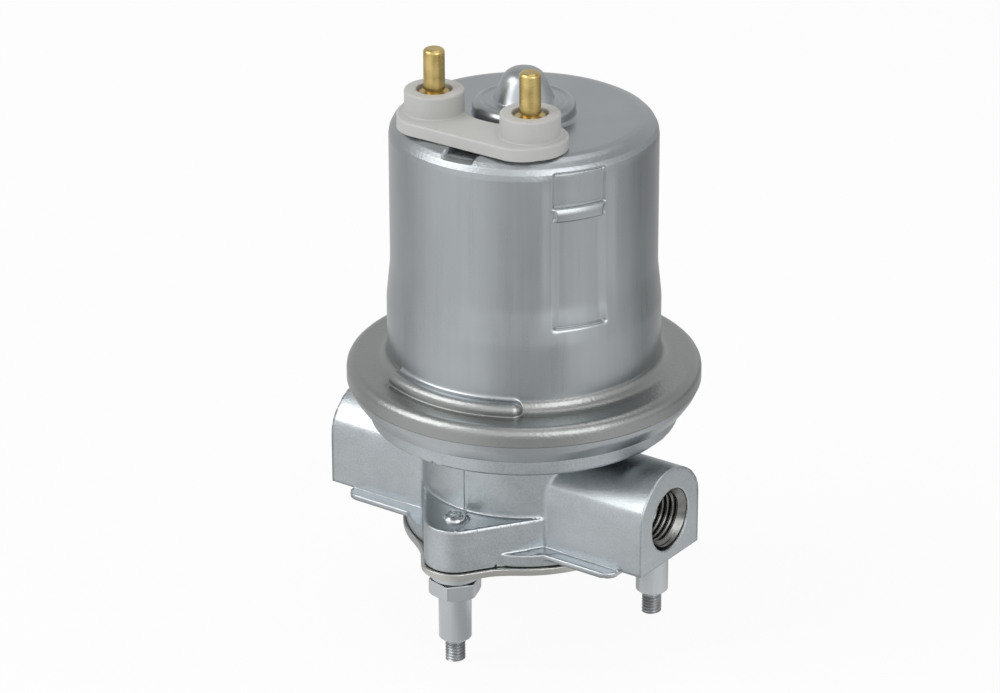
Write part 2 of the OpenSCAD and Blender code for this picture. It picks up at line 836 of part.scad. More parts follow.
module clamp_ring() {
    color(steel)
        rotate_extrude()
            polygon(sheet_section(clamp_path, clamp_t, 5));
}

module seat_gasket() {
    color(rubber)
        translate([0, 0, body_top])
            ring(seat_r, seat_r - seat_gasket_w, seat_gasket_t - tiny);
}

// Terminals

module at_posts() {
    for (s = [-1, 1])
        translate([s * post_x, -post_y, 0])
            children();
}

module insulator_outline() {
    corner_r = insulator_lobe_r - 0.9;
    difference() {
        union() {
            at_posts()
                circle(r = insulator_lobe_r);
            for (s = [-1, 1])
                translate([s * (post_x - 0.7), corner_r - insulator_front])
                    circle(r = corner_r);
            translate([0.7 - post_x, -insulator_front])
                square([2 * post_x - 1.4, insulator_front - post_y + insulator_lobe_r * 0.7]);
        }
        circle(r = insulator_back_r);
    }
}

module terminal_insulator() {
    color(nylon)
        difference() {
            union() {
                translate([0, 0, insulator_z])
                    linear_extrude(insulator_t)
                        insulator_outline();
                at_posts()
                    translate([0, 0, insulator_z])
                        cylinder(r = post_boss_r, h = insulator_t + post_boss_h);
                at_posts()
                    translate([0, 0, can_ceiling])
                        cylinder(r = spigot_r, h = can_wall + tiny);
            }
            at_posts()
                translate([0, 0, well_z])
                    cylinder(r = well_r, h = well_d + 1);
            at_posts()
                translate([0, 0, can_ceiling - 1])
                    cylinder(r = post_r, h = well_z - can_ceiling + 2);
            at_posts()
                translate([0, 0, can_ceiling - tiny])
                    cylinder(r = post_r + 1, h = 1.6);
        }
}

module inner_insulator() {
    color(nylon)
        translate([0, 0, inner_insulator_z])
            difference() {
                linear_extrude(inner_insulator_t)
                    difference() {
                        union() {
                            at_posts()
                                circle(r = insulator_lobe_r - 1.5);
                            translate([-post_x, -post_y - 5])
                                square([2 * post_x, 8]);
                        }
                        circle(r = step_r);
                        difference() {
                            circle(r = 2 * can_r);
                            circle(r = can_r - can_edge_r - running);
                        }
                    }
                at_posts()
                    translate([0, 0, -tiny])
                        cylinder(r = post_r, h = inner_insulator_t + 2 * tiny);
            }
}

module terminal_post() {
    rounding = 0.9;
    color(brass) {
        translate([0, 0, inner_insulator_z - post_flange_t])
            cylinder(r = shank_r, h = post_foot_z - inner_insulator_z + post_flange_t);
        translate([0, 0, post_foot_z])
            cylinder(r = post_r, h = post_top - rounding - post_foot_z);
        translate([0, 0, post_top - rounding])
            rotate_extrude()
                intersection() {
                    translate([post_r - rounding, 0])
                        circle(r = rounding);
                    square([post_r, rounding]);
                }
        translate([0, 0, post_top - rounding])
            cylinder(r = post_r - rounding, h = rounding);
        translate([0, 0, well_z])
            cylinder(r = post_collar_r, h = post_collar_h);
        translate([0, 0, inner_insulator_z - post_flange_t])
            cylinder(r = post_r + post_flange_w, h = post_flange_t);
        translate([0, 0, carrier_z])
            cylinder(r = post_r - 0.6, h = inner_insulator_z - carrier_z);
    }
}

module terminal_post_left() {
    translate([-post_x, -post_y, 0])
        terminal_post();
}

module terminal_post_right() {
    translate([post_x, -post_y, 0])
        terminal_post();
}

module terminal_seals() {
    color(rubber)
        at_posts()
            translate([0, 0, can_ceiling])
                ring(post_r + 1, shank_r, 1.5);
}

// A flat brass strap from the right post to the top of its brush guide
module contact_strap() {
    width = 5;
    color(brass)
        translate([0, 0, strap_z])
            difference() {
                linear_extrude(strap_t)
                    union() {
                        translate([post_x, -post_y])
                            circle(r = 3.6);
                        polygon([
                            [post_x - width / 2, -post_y],
                            [post_x + width / 2, -post_y],
                            [brush_x + width / 2, 0],
                            [brush_x - width / 2, 0]
                        ]);
                        translate([brush_x - width / 2, -brush_d / 2])
                            square([width, brush_d]);
                    }
                translate([post_x, -post_y, -tiny])
                    cylinder(r = post_r - 0.6, h = strap_t + 2 * tiny);
                translate([0, 0, -tiny])
                    cylinder(r = bearing_r + clearance, h = strap_t + 2 * tiny);
            }
}

module contact_strap_left() {
    mirror([1, 0, 0])
        contact_strap();
}

module contact_strap_right() {
    contact_strap();
}

// Brush gear

module brush_carrier() {
    guide = [brush_w + 2 * guide_wall, brush_d + 2 * guide_wall];
    color(phenolic)
        difference() {
            union() {
                translate([0, 0, carrier_z])
                    cylinder(r = can_bore_r - running, h = carrier_t);
                for (s = [-1, 1])
                    translate([s * brush_x - guide[0] / 2, -guide[1] / 2, guide_foot])
                        cube([guide[0], guide[1], guide_top - guide_foot]);
                at_posts()
                    translate([0, 0, carrier_z])
                        cylinder(r = 5, h = strap_z - carrier_z);
            }
            for (s = [-1, 1])
                translate([s * brush_x - brush_w / 2 - running, -brush_d / 2 - running, guide_foot - 1])
                    cube([brush_w + 2 * running, brush_d + 2 * running, guide_top - guide_foot + 2]);
            translate([0, 0, guide_foot - 1])
                cylinder(r = shaft_r + clearance, h = guide_top - guide_foot + 2);
            at_posts()
                translate([0, 0, carrier_z - 1])
                    cylinder(r = post_r - 0.6, h = strap_z - carrier_z + 2);
            translate([0, 0, carrier_z - 1])
                arc_block(panel_inner_r - clearance, can_r, panel_angle - panel_half_angle - 4,
                    panel_angle + panel_half_angle + 4, carrier_t + 2);
            // Two bays let the motor's warmth and leads through
            for (s = [-1, 1])
                translate([0, s * 19 + (s < 0 ? -2 : 0), carrier_z - 1])
                    cylinder(r = 4.5, h = carrier_t + 2);
        }
}

module brush() {
    color(graphite)
        translate([-brush_w / 2, -brush_d / 2, brush_z])
            cube([brush_w, brush_d, brush_h]);
}

module brush_left() {
    translate([-brush_x, 0, 0])
        brush();
}

module brush_right() {
    translate([brush_x, 0, 0])
        brush();
}

module brush_spring() {
    color(plated)
        translate([0, 0, brush_spring_z])
            ring(brush_spring_r, brush_spring_r - brush_wire, strap_z - brush_spring_z);
}

module brush_spring_left() {
    translate([-brush_x, 0, 0])
        brush_spring();
}

module brush_spring_right() {
    translate([brush_x, 0, 0])
        brush_spring();
}

// Armature

module commutator_bars() {
    bar_in = shaft_r + 2;
    half = 180 / slot_count;
    color(copper)
        for (i = [0 : slot_count - 1])
            rotate([0, 0, i * 2 * half])
                translate([0, 0, bar_z])
                    difference() {
                        arc_block(bar_in, commutator_r, -half, half, bar_t);
                        for (s = [-1, 1])
                            rotate([0, 0, s * half])
                                translate([0, -bar_gap / 2, -tiny])
                                    cube([commutator_r + 1, bar_gap, bar_t + 2 * tiny]);
                    }
}

module commutator_hub() {
    color(phenolic)
        translate([0, 0, hub_z])
            ring(commutator_r + 0.4, shaft_r, hub_t);
}

module slots(width, depth, h) {
    for (i = [0 : slot_count - 1])
        rotate([0, 0, (i + 0.5) * 360 / slot_count])
            translate([core_r - depth, -width / 2, 0])
                cube([depth + 1, width, h]);
}

module armature_core() {
    color(steel)
        translate([0, 0, core_z])
            difference() {
                ring(core_r, shaft_r, core_h);
                translate([0, 0, -tiny])
                    slots(slot_w, slot_d, core_h + 2 * tiny);
            }
}

module windings() {
    inset = 0.15;
    winding_r = core_r - 1.2;
    color(copper)
        intersection() {
            union() {
                translate([0, 0, winding_z])
                    ring(winding_r, core_r - slot_d - 1, end_winding_h);
                translate([0, 0, core_z + core_h])
                    ring(winding_r, core_r - slot_d - 1, end_winding_h);
                translate([0, 0, winding_z])
                    slots(slot_w - 2 * inset, slot_d - inset, core_h + 2 * end_winding_h);
            }
            translate([0, 0, winding_z])
                cylinder(r = winding_r, h = core_h + 2 * end_winding_h);
        }
}

module shaft() {
    chamfer = 0.4;
    color(plated)
        difference() {
            union() {
                translate([0, 0, shaft_bottom])
                    cylinder(r = shaft_r, h = shaft_top - shaft_bottom - chamfer);
                translate([0, 0, shaft_top - chamfer])
                    cylinder(r1 = shaft_r, r2 = shaft_r - chamfer, h = chamfer);
            }
            translate([0, 0, drive_pin_z])
                rotate([0, 90, 0])
                    cylinder(r = drive_pin_r, h = 20, center = true);
        }
}

module field_magnets() {
    color(ferrite)
        translate([0, 0, magnet_z])
            for (a = [60, 240])
                arc_block(magnet_outer_r - magnet_t, magnet_outer_r, a - magnet_angle / 2,
                    a + magnet_angle / 2, magnet_h);
}

// The spring clip that spreads the magnets apart, opposite the pressed panel
module magnet_clip() {
    clip_t = 1;
    edge = (180 - magnet_angle) / 2;
    color(plated)
        translate([0, 0, magnet_z]) {
            arc_block(magnet_outer_r - clip_t, magnet_outer_r, 150 - edge + 0.2, 150 + edge - 0.2, magnet_h);
            for (s = [-1, 1])
                rotate([0, 0, 150 + s * (edge - 1.5)])
                    translate([magnet_outer_r - 5, -clip_t / 2, 0])
                        cube([5 - clip_t / 2, clip_t, magnet_h]);
        }
}

// Bearings and seal

module upper_bearing() {
    color(bronze)
        translate([0, 0, upper_bearing_z])
            ring(bearing_r, shaft_r + running, upper_bearing_h);
}

module bearing_retainer() {
    pocket = step_r - can_wall - running;
    color(plated)
        translate([0, 0, can_ceiling + clearance])
            ring(pocket, bearing_r, step_h - can_wall);
}

module thrust_button() {
    seat_h = 1.8;
    taper = (dome_r - dome_crown_r) / dome_h;
    wall = can_wall * sqrt(1 + taper * taper) + running;
    foot_r = dome_r - (thrust_button_z - step_top) * taper - wall;
    color(nylon)
        translate([0, 0, thrust_button_z])
            cylinder(r1 = foot_r, r2 = foot_r - seat_h * taper, h = seat_h);
}

module lower_bearing() {
    color(bronze)
        translate([0, 0, lower_bearing_z])
            ring(bearing_r, shaft_r + running, lower_bearing_h);
}

module thrust_washer() {
    color(nylon)
        translate([0, 0, thrust_z])
            ring(bearing_r - 2 * clearance, shaft_r, thrust_t);
}

module shaft_seal() {
    color(rubber)
        translate([0, 0, pocket_top])
            ring(seal_r, shaft_r + running, seal_h);
}

// Rotor set

module plate_body(t) {
    difference() {
        cylinder(r = pocket_r, h = t);
        for (s = [-1, 1])
            translate([s * pocket_r - channel_d, -port_offset - channel_w / 2, -tiny])
                cube([2 * channel_d, channel_w, t + 2 * tiny]);
    }
}

module kidneys(t) {
    for (a = [0, 180])
        arc_block(kidney_in, kidney_out, a - kidney_angle / 2, a + kidney_angle / 2, t);
}

module upper_port_plate() {
    groove_t = 1.5;
    color(zinc)
        translate([0, 0, upper_plate_z])
            difference() {
                plate_body(upper_plate_t);
                translate([0, 0, -tiny])
                    kidneys(upper_plate_t + 2 * tiny);
                translate([0, 0, -tiny])
                    cylinder(r = shaft_r + clearance, h = upper_plate_t + 2 * tiny);
                for (s = [-1, 1])
                    translate([s * (kidney_out + pocket_r) / 2, 0, upper_plate_t - groove_t / 2 + tiny])
                        cube([pocket_r - kidney_out + 1, channel_w - 3, groove_t + 2 * tiny], center = true);
                translate([0, 0, upper_plate_t - groove_t])
                    arc_block(relief_x - 1.6, relief_x + 1.6, 0, relief_angle + 6, groove_t + tiny);
            }
}

module lower_port_plate() {
    groove = o_ring_d * 0.75;
    color(zinc)
        translate([0, 0, joint_z])
            difference() {
                cylinder(r = pocket_r - tiny, h = lower_plate_t);
                translate([0, 0, lower_plate_t - 1])
                    kidneys(1 + tiny);
                translate([0, 0, -tiny])
                    ring(pocket_r + 1, pocket_r - groove, groove + tiny);
            }
}

module plate_o_ring() {
    groove = o_ring_d * 0.75;
    color(rubber)
        translate([0, 0, joint_z])
            ring(pocket_r - tiny, pocket_r - groove + tiny, groove - tiny);
}

module rotor_ring() {
    color(steel)
        translate([0, 0, plate_z])
            difference() {
                plate_body(ring_top_z - plate_z);
                translate([0, eccentricity, -tiny])
                    cylinder(r = outer_rotor_r + running, h = ring_top_z - plate_z + 2 * tiny);
            }
}

module outer_rotor() {
    color(steel)
        translate([0, eccentricity, rotor_z])
            linear_extrude(rotor_h)
                difference() {
                    circle(r = outer_rotor_r);
                    difference() {
                        circle(r = outer_bore_r);
                        for (i = [0 : outer_lobes - 1])
                            rotate([0, 0, 90 + i * 360 / outer_lobes])
                                translate([lobe_circle_r, 0])
                                    circle(r = lobe_r);
                    }
                }
}

// A point on the path of an outer lobe's centre, seen from the inner rotor, and the
// inner rotor's flank: the same path moved inwards by the lobe's radius and the gap.
function lobe_path(a) = on_circle(lobe_circle_r, a) + on_circle(eccentricity, outer_lobes * a);
function lobe_heading(a) =
    unit([
        -lobe_circle_r * sin(a) - outer_lobes * eccentricity * sin(outer_lobes * a),
        lobe_circle_r * cos(a) + outer_lobes * eccentricity * cos(outer_lobes * a)
    ]);
function flank(a) = lobe_path(a) + left_of(lobe_heading(a)) * (lobe_r + flank_gap);

// Steps round the flank, closer together in the valleys, where it bends most
function crowded(a) = a + 0.8 * sin(inner_lobes * a) * 180 / PI / inner_lobes;

module inner_rotor() {
    steps = 40 * inner_lobes;
    key_t = 2.4;
    color(steel)
        translate([0, 0, rotor_z])
            difference() {
                linear_extrude(rotor_h)
                    rotate([0, 0, 90])
                        polygon([for (i = [0 : steps - 1]) flank(crowded(i * 360 / steps))]);
                translate([0, 0, -tiny])
                    cylinder(r = shaft_r, h = rotor_h + 2 * tiny);
                translate([0, 0, drive_pin_z - rotor_z])
                    rotate([0, 90, 0])
                        cylinder(r = drive_pin_r, h = 2 * (shaft_r + key_t), center = true);
                translate([-shaft_r - key_t, -drive_pin_r, drive_pin_z - rotor_z])
                    cube([2 * (shaft_r + key_t), 2 * drive_pin_r, rotor_h]);
            }
}

module drive_pin() {
    color(plated)
        translate([0, 0, drive_pin_z])
            rotate([0, 90, 0])
                cylinder(r = drive_pin_r, h = 2 * (shaft_r + 2), center = true);
}

// Relief valve

module relief_poppet() {
    nose_h = 1.1;
    color(brass)
        translate([relief_c[0], relief_c[1], poppet_z + running])
            difference() {
                union() {
                    cylinder(r1 = poppet_r - nose_h, r2 = poppet_r, h = nose_h);
                    translate([0, 0, nose_h])
                        cylinder(r = poppet_r, h = poppet_h - nose_h - running);
                }
                translate([0, 0, poppet_h - 2])
                    cylinder(r = poppet_r - relief_wire - 0.5, h = 3);
            }
}

module relief_spring() {
    color(plated)
        translate([relief_c[0], relief_c[1], relief_spring_z])
            ring(poppet_r - 0.1, poppet_r - 0.1 - relief_wire, relief_spring_h);
}

module relief_plug() {
    socket_af = 3;
    color(brass)
        translate([relief_c[0], relief_c[1], plug_z])
            difference() {
                cylinder(r = plug_r, h = plug_h);
                translate([0, 0, plug_h - 2])
                    linear_extrude(3)
                        circle(r = socket_af / sqrt(3), $fn = 6);
            }
}

motor_can();
clamp_ring();
seat_gasket();
pump_body();
cover_gasket();
bottom_cover();
mounting_stud_front();
mounting_stud_right();
cover_screw();
terminal_insulator();
inner_insulator();
terminal_post_left();
terminal_post_right();
terminal_seals();
contact_strap_left();
contact_strap_right();
brush_carrier();
brush_left();
brush_right();
brush_spring_left();
brush_spring_right();
commutator_bars();
commutator_hub();
windings();
armature_core();
shaft();
field_magnets();
magnet_clip();
upper_bearing();
bearing_retainer();
thrust_button();
lower_bearing();
thrust_washer();
shaft_seal();
upper_port_plate();
lower_port_plate();
rotor_ring();
outer_rotor();
inner_rotor();
drive_pin();
plate_o_ring();
relief_poppet();
relief_spring();
relief_plug();
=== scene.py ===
"""Dresses the inline electric fuel pump: its shapes, finishes, light and camera."""

from __future__ import annotations

import json
import logging
import math
from dataclasses import dataclass
from enum import Enum
from functools import reduce
from typing import Any, Callable, Sequence

import bpy
import numpy as np
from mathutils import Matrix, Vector

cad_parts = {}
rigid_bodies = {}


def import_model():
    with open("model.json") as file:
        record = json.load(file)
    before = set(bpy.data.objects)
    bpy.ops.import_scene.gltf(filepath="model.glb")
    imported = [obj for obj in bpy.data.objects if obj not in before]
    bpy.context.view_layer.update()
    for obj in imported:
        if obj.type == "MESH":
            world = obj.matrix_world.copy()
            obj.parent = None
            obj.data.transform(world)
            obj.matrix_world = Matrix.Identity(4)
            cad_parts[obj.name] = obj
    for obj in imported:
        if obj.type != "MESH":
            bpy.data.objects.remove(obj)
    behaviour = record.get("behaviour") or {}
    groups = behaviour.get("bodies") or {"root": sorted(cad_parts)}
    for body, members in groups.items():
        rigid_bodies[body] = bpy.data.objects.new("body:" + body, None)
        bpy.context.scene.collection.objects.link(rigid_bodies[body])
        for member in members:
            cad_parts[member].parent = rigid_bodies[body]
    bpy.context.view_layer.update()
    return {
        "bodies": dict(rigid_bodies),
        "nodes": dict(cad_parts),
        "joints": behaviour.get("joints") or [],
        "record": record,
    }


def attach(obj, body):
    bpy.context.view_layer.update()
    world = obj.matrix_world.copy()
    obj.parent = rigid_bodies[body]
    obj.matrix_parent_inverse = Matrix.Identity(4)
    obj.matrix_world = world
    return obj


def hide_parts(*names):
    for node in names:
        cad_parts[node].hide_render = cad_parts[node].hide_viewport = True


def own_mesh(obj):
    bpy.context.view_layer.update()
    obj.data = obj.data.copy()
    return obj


MM = 0.001
LOG = logging.getLogger("fuel_pump")

# Meshing of forms: the grid's shift off round numbers, the hold that a cell's middle has on its point,
# and how far towards the edge's crossing a corner's normal is read
GRID_SHIFT = 0.0137
MIDDLE_HOLD = 0.04
NORMAL_SHIFT = 0.15

Triple = tuple[float, float, float]
Span = tuple[float, float]
Outline = list[Span]


# Node graphs


class Value:
    """A number on a node's socket that can be used in ordinary sums."""

    def __init__(self, graph: Graph, socket: bpy.types.NodeSocket) -> None:
        """Wrap a socket.

        Args:
            graph: The graph that the socket belongs to.
            socket: The output that carries the number.
        """
        self.graph = graph
        self.socket = socket

    def _sum(self, operation: str, *terms: Any) -> Value:
        """Add a Math node for one operation on its terms."""
        return self.graph.value("ShaderNodeMath", {"operation": operation}, dict(enumerate(terms)))

    def __add__(self, other: Any) -> Value:
        """Return self + other."""
        return self._sum("ADD", self, other)

    __radd__ = __add__

    def __sub__(self, other: Any) -> Value:
        """Return self - other."""
        return self._sum("SUBTRACT", self, other)

    def __rsub__(self, other: Any) -> Value:
        """Return other - self."""
        return self._sum("SUBTRACT", other, self)

    def __mul__(self, other: Any) -> Value:
        """Return self * other."""
        return self._sum("MULTIPLY", self, other)

    __rmul__ = __mul__

    def __truediv__(self, other: Any) -> Value:
        """Return self / other."""
        return self._sum("DIVIDE", self, other)

    def __pow__(self, other: Any) -> Value:
        """Return self to a power."""
        return self._sum("POWER", self, other)

    def at_least(self, other: Any) -> Value:
        """Return the larger of self and other."""
        return self._sum("MAXIMUM", self, other)

    def at_most(self, other: Any) -> Value:
        """Return the smaller of self and other."""
        return self._sum("MINIMUM", self, other)

    def size(self) -> Value:
        """Return the value without its sign."""
        return self._sum("ABSOLUTE", self)

    def sine(self) -> Value:
        """Return the sine of an angle in radians."""
        return self._sum("SINE", self)

    def cosine(self) -> Value:
        """Return the cosine of an angle in radians."""
        return self._sum("COSINE", self)

    def ramp(self, low: float, high: float) -> Value:
        """Rise smoothly from 0 at low to 1 at high.

        Args:
            low: The value that gives 0.
            high: The value that gives 1.

        Returns:
            The eased value.
        """
        return self.graph.value(
            "ShaderNodeMapRange",
            {"interpolation_type": "SMOOTHSTEP"},
            {"Value": self, "From Min": low, "From Max": high},
        )


class Graph:
    """A shader or geometry tree that is filled by short calls."""

    def __init__(self, tree: bpy.types.NodeTree) -> None:
        """Take an empty or ready tree."""
        self.tree = tree

    def node(
        self, kind: str, settings: dict[str, Any] | None = None, inputs: dict[Any, Any] | None = None
    ) -> bpy.types.Node:
        """Add one node, set it up and connect it.

        Args:
            kind: The node's type.
            settings: The node's own properties, set before its sockets.
            inputs: Socket names, identifiers or places, with numbers or links.

        Returns:
            The new node.
        """
        made = self.tree.nodes.new(kind)
        for name, setting in (settings or {}).items():
            setattr(made, name, setting)
        for name, given in (inputs or {}).items():
            socket = self._find(made.inputs, name)
            if isinstance(given, Value):
                given = given.socket
            if isinstance(given, bpy.types.NodeSocket):
                self.tree.links.new(given, socket)
            elif given is not None:
                socket.default_value = given
        return made

    @staticmethod
    def _find(sockets: Any, name: Any) -> bpy.types.NodeSocket:
        """Find a socket by its place, identifier or name.

        Args:
            sockets: A node's inputs or outputs.
            name: The place, identifier or name.

        Returns:
            The socket.
        """
        if isinstance(name, int):
            return sockets[name]
        for socket in sockets:
            if socket.identifier == name:
                return socket
        return sockets[name]

    def value(
        self,
        kind: str,
        settings: dict[str, Any] | None = None,
        inputs: dict[Any, Any] | None = None,
        output: Any = 0,
    ) -> Value:
        """Add one node and return one of its outputs.

        Args:
            kind: The node's type.
            settings: The node's own properties.
            inputs: Socket names with numbers or links.
            output: The name or place of the output.

        Returns:
            The output as a value.
        """
        return Value(self, self._find(self.node(kind, settings, inputs).outputs, output))

    def mix(self, factor: Any, first: Any, second: Any) -> Value:
        """Blend two colours.

        Args:
            factor: 0 for the first colour, 1 for the second.
            first: A colour or a link.
            second: A colour or a link.

        Returns:
            The blended colour.
        """
        first, second = (c if isinstance(c, Value) else (*c, 1.0) for c in (first, second))
        inputs = {"Factor_Float": factor, "A_Color": first, "B_Color": second}
        return self.value("ShaderNodeMix", {"data_type": "RGBA"}, inputs, "Result_Color")

    def vector(self, operation: str, *terms: Any) -> Value:
        """Add a Vector Math node for one operation on its terms."""
        output = "Value" if operation in ("DOT_PRODUCT", "LENGTH", "DISTANCE") else "Vector"
        return self.value("ShaderNodeVectorMath", {"operation": operation}, dict(enumerate(terms)), output)

    def axes(self, vector: Any) -> tuple[Value, Value, Value]:
        """Split a vector into its three numbers."""
        split = self.node("ShaderNodeSeparateXYZ", None, {0: vector})
        return tuple(Value(self, out) for out in split.outputs)

    def place(self) -> Value:
        """Return the object coordinates."""
        return self.value("ShaderNodeTexCoord", None, None, "Object")

    def rays(self) -> tuple[Value, Value, Value]:
        """Return whether a ray comes from the camera, from a glossy surface or through a clear one.

        Returns:
            Three values, each 0 or 1.
        """
        path = self.node("ShaderNodeLightPath")
        kinds = ("Camera", "Glossy", "Transmission")
        return tuple(Value(self, path.outputs[f"Is {kind} Ray"]) for kind in kinds)

    def noise(
        self, place: Value, scale: float, detail: float = 2.0, stretch: Triple = (1, 1, 1), warp: float = 0.0
    ) -> Value:
        """Add soft noise.

        Args:
            place: The coordinates.
            scale: Cells per metre.
            detail: How many finer layers are added.
            stretch: How much faster the noise runs along each axis.
            warp: How much the noise is distorted.

        Returns:
            A value from 0 to 1.
        """
        if stretch != (1, 1, 1):
            place = self.vector("MULTIPLY", place, stretch)
        inputs = {"Vector": place, "Scale": scale, "Detail": detail, "Distortion": warp}
        return self.value("ShaderNodeTexNoise", None, inputs)

    def cells(self, place: Value, scale: float) -> Value:
        """Return the distance to the nearest of many scattered points."""
        return self.value("ShaderNodeTexVoronoi", None, {"Vector": place, "Scale": scale}, "Distance")


# Finishes


@dataclass
class Look:
    """What changes over one surface.

    Attributes:
        colour: The base colour.
        roughness: The roughness.
        height: The height that the bump reads, from about 0 to 1.
        depth: How deep the bump is, in millimetres.
    """

    colour: Value
    roughness: Value
    height: Value
    depth: float


@dataclass(frozen=True)
class Finish:
    """A finish: its name in the record, its colour and its gloss.

    Attributes:
        slot: The record's material slot.
        colour: The colour, linear.
        dark: The colour in its darker patches, linear.
        metallic: 1 for bare metal.
        roughness: The mean roughness.
    """

    slot: str
    colour: Triple
    dark: Triple
    metallic: float = 0.0
    roughness: float = 0.5

    def look(self, graph: Graph, place: Value) -> Look:
        """Describe the surface; each finish has its own.

        Args:
            graph: The material's graph.
            place: The object coordinates.

        Returns:
            The surface's colour, roughness and bump.
        """
        raise NotImplementedError

    def material(self) -> bpy.types.Material:
        """Build the material, or return it if it is already there.

        Returns:
            The material.
        """
        name = f"{type(self).__name__.lower()}_{self.slot}"
        if name in bpy.data.materials:
            return bpy.data.materials[name]
        material = bpy.data.materials.new(name)
        material.use_nodes = True
        graph = Graph(material.node_tree)
        material.node_tree.nodes.clear()
        look = self.look(graph, graph.place())
        bump = graph.value(
            "ShaderNodeBump", None, {"Strength": 1.0, "Distance": look.depth * MM, "Height": look.height}
        )
        shader = graph.value(
            "ShaderNodeBsdfPrincipled",
            None,
            {
                "Base Color": look.colour,
                "Metallic": self.metallic,
                "Roughness": look.roughness,
                "Normal": bump,
            },
        )
        graph.node("ShaderNodeOutputMaterial", None, {"Surface": shader})
        return material


@dataclass(frozen=True)
class DrawnSteel(Finish):
    """Stamped and drawn sheet, satin, with faint marks along the draw and a darker band, which on the can's
    flange is partly painted shade.

    Attributes:
        top: Height above which the marks run in circles, in millimetres.
        edge: Lower and upper end of the darker band, in millimetres.
        band_tone_and_painted_shade: The colour of that band, linear: the sheet's own tone, and on the can's
            flange also painted shade for the dark can wall that the flange reflects.
        band_cover: How much of the band's colour shows.
        corner: Lower and upper end of the coarser rounded corner, counted down from the top, in millimetres.
        speckle: How much coarser the band and the corner are than the rest.
        streaks: Streaks per metre across the draw.
        draw: A streak's width as a share of its length.
        circles: Circles per metre on the top.
        clouds: Clouds per metre.
        grain: Grains per metre.
        specks: Specks per metre in the band and the corner.
    """

    top: float = 105.6
    edge: Span = (-90.0, -80.0)
    band_tone_and_painted_shade: Triple = (0.3, 0.3, 0.3)
    band_cover: float = 0.9
    corner: Span = (4.9, 0.4)
    speckle: float = 9.0
    streaks: float = 700
    draw: float = 0.035
    circles: float = 330
    clouds: float = 55
    grain: float = 3200
    specks: float = 1500

    def look(self, graph: Graph, place: Value) -> Look:
        """Describe streaks along the draw, soft clouds and a fine grain.

        Args:
            graph: The material's graph.
            place: The object coordinates.

        Returns:
            The surface's colour, roughness and bump.
        """
        streak = graph.noise(place, self.streaks, 3, (1, 1, self.draw))
        cloud = graph.noise(place, self.clouds, 3, (1, 1, 0.6), 0.3)
        grain = graph.noise(place, self.grain, 2)
        speck = graph.noise(place, self.specks, 2)
        away = graph.vector("LENGTH", graph.vector("MULTIPLY", place, (1, 1, 0)))
        circles = graph.noise(graph.vector("MULTIPLY", away, (1, 0, 0)), self.circles, 3)
        height = graph.axes(place)[2] * (1 / MM)
        top = height.ramp(self.top - 0.9, self.top)
        marks = streak * (1 - top) + circles * top
        mask = cloud.ramp(0.25, 0.75) * 0.5 + marks * 0.5
        # The band: on the can's flange its darker colour is painted shade for the dark can wall reflected
        # there; its warmer tint, and the plated parts' band, are their own tone.
        low, high = self.edge
        edge = height.ramp(low - 0.5, low) * (1 - height.ramp(high, high + 0.8))
        low, high = (self.top - down for down in self.corner)
        corner = height.ramp(low, low + 1.3) * (1 - height.ramp(high, high + 0.5))
        colour = graph.mix(mask, self.dark, self.colour)
        return Look(
            graph.mix(edge * self.band_cover, colour, self.band_tone_and_painted_shade),
            self.roughness + (cloud - 0.5) * 0.1 + (marks - 0.5) * 0.14 + edge * 0.02 + corner * 0.07,
            streak * (1 - top) * 0.35 + grain * 0.4 + speck * (corner + edge) * self.speckle,
            0.008,
        )


@dataclass(frozen=True)
class CastMetal(Finish):
    """Die-cast metal with flow marks, a fine grain and small pits.

    Attributes:
        flows: Flow marks per metre.
        patches: Slow changes of colour per metre.
        grain: Grains per metre.
        pits: Pits per metre.
    """

    flows: float = 130
    patches: float = 45
    grain: float = 2400
    pits: float = 950

    def look(self, graph: Graph, place: Value) -> Look:
        """Describe flow marks, grain and pits.

        Args:
            graph: The material's graph.
            place: The object coordinates.

        Returns:
            The surface's colour, roughness and bump.
        """
        flow = graph.noise(place, self.flows, 5, (1, 1, 1.6), 1.2)
        patch = graph.noise(place, self.patches, 3)
        grain = graph.noise(place, self.grain, 3)
        pits = 1 - graph.cells(place, self.pits).ramp(0.05, 0.28)
        mask = flow.ramp(0.3, 0.7) * 0.25 + patch.ramp(0.3, 0.7) * 0.25 + grain.ramp(0.3, 0.7) * 0.5
        return Look(
            graph.mix(mask, self.dark, self.colour),
            self.roughness + (grain - 0.5) * 0.25 + (flow - 0.5) * 0.1,
            grain * 0.8 + flow * 0.1 - pits * 0.2,
            0.06,
        )


@dataclass(frozen=True)
class Turned(Finish):
    """Metal turned on a lathe about an upright axis, with fine rings.

    Attributes:
        rings: Rings per metre of height.
        clouds: Slow changes of colour per metre.
    """

    rings: float = 2600
    clouds: float = 320

    def look(self, graph: Graph, place: Value) -> Look:
        """Describe turning rings and slow changes of colour.

        Args:
            graph: The material's graph.
            place: The object coordinates.

        Returns:
            The surface's colour, roughness and bump.
        """
        rings = graph.noise(place, self.rings, 2, (0.03, 0.03, 1))
        cloud = graph.noise(place, self.clouds, 3)
        return Look(
            graph.mix(cloud.ramp(0.3, 0.7) * 0.7 + rings * 0.3, self.dark, self.colour),
            self.roughness + (rings - 0.5) * 0.25 + (cloud - 0.5) * 0.1,
            rings,
            0.012,
        )


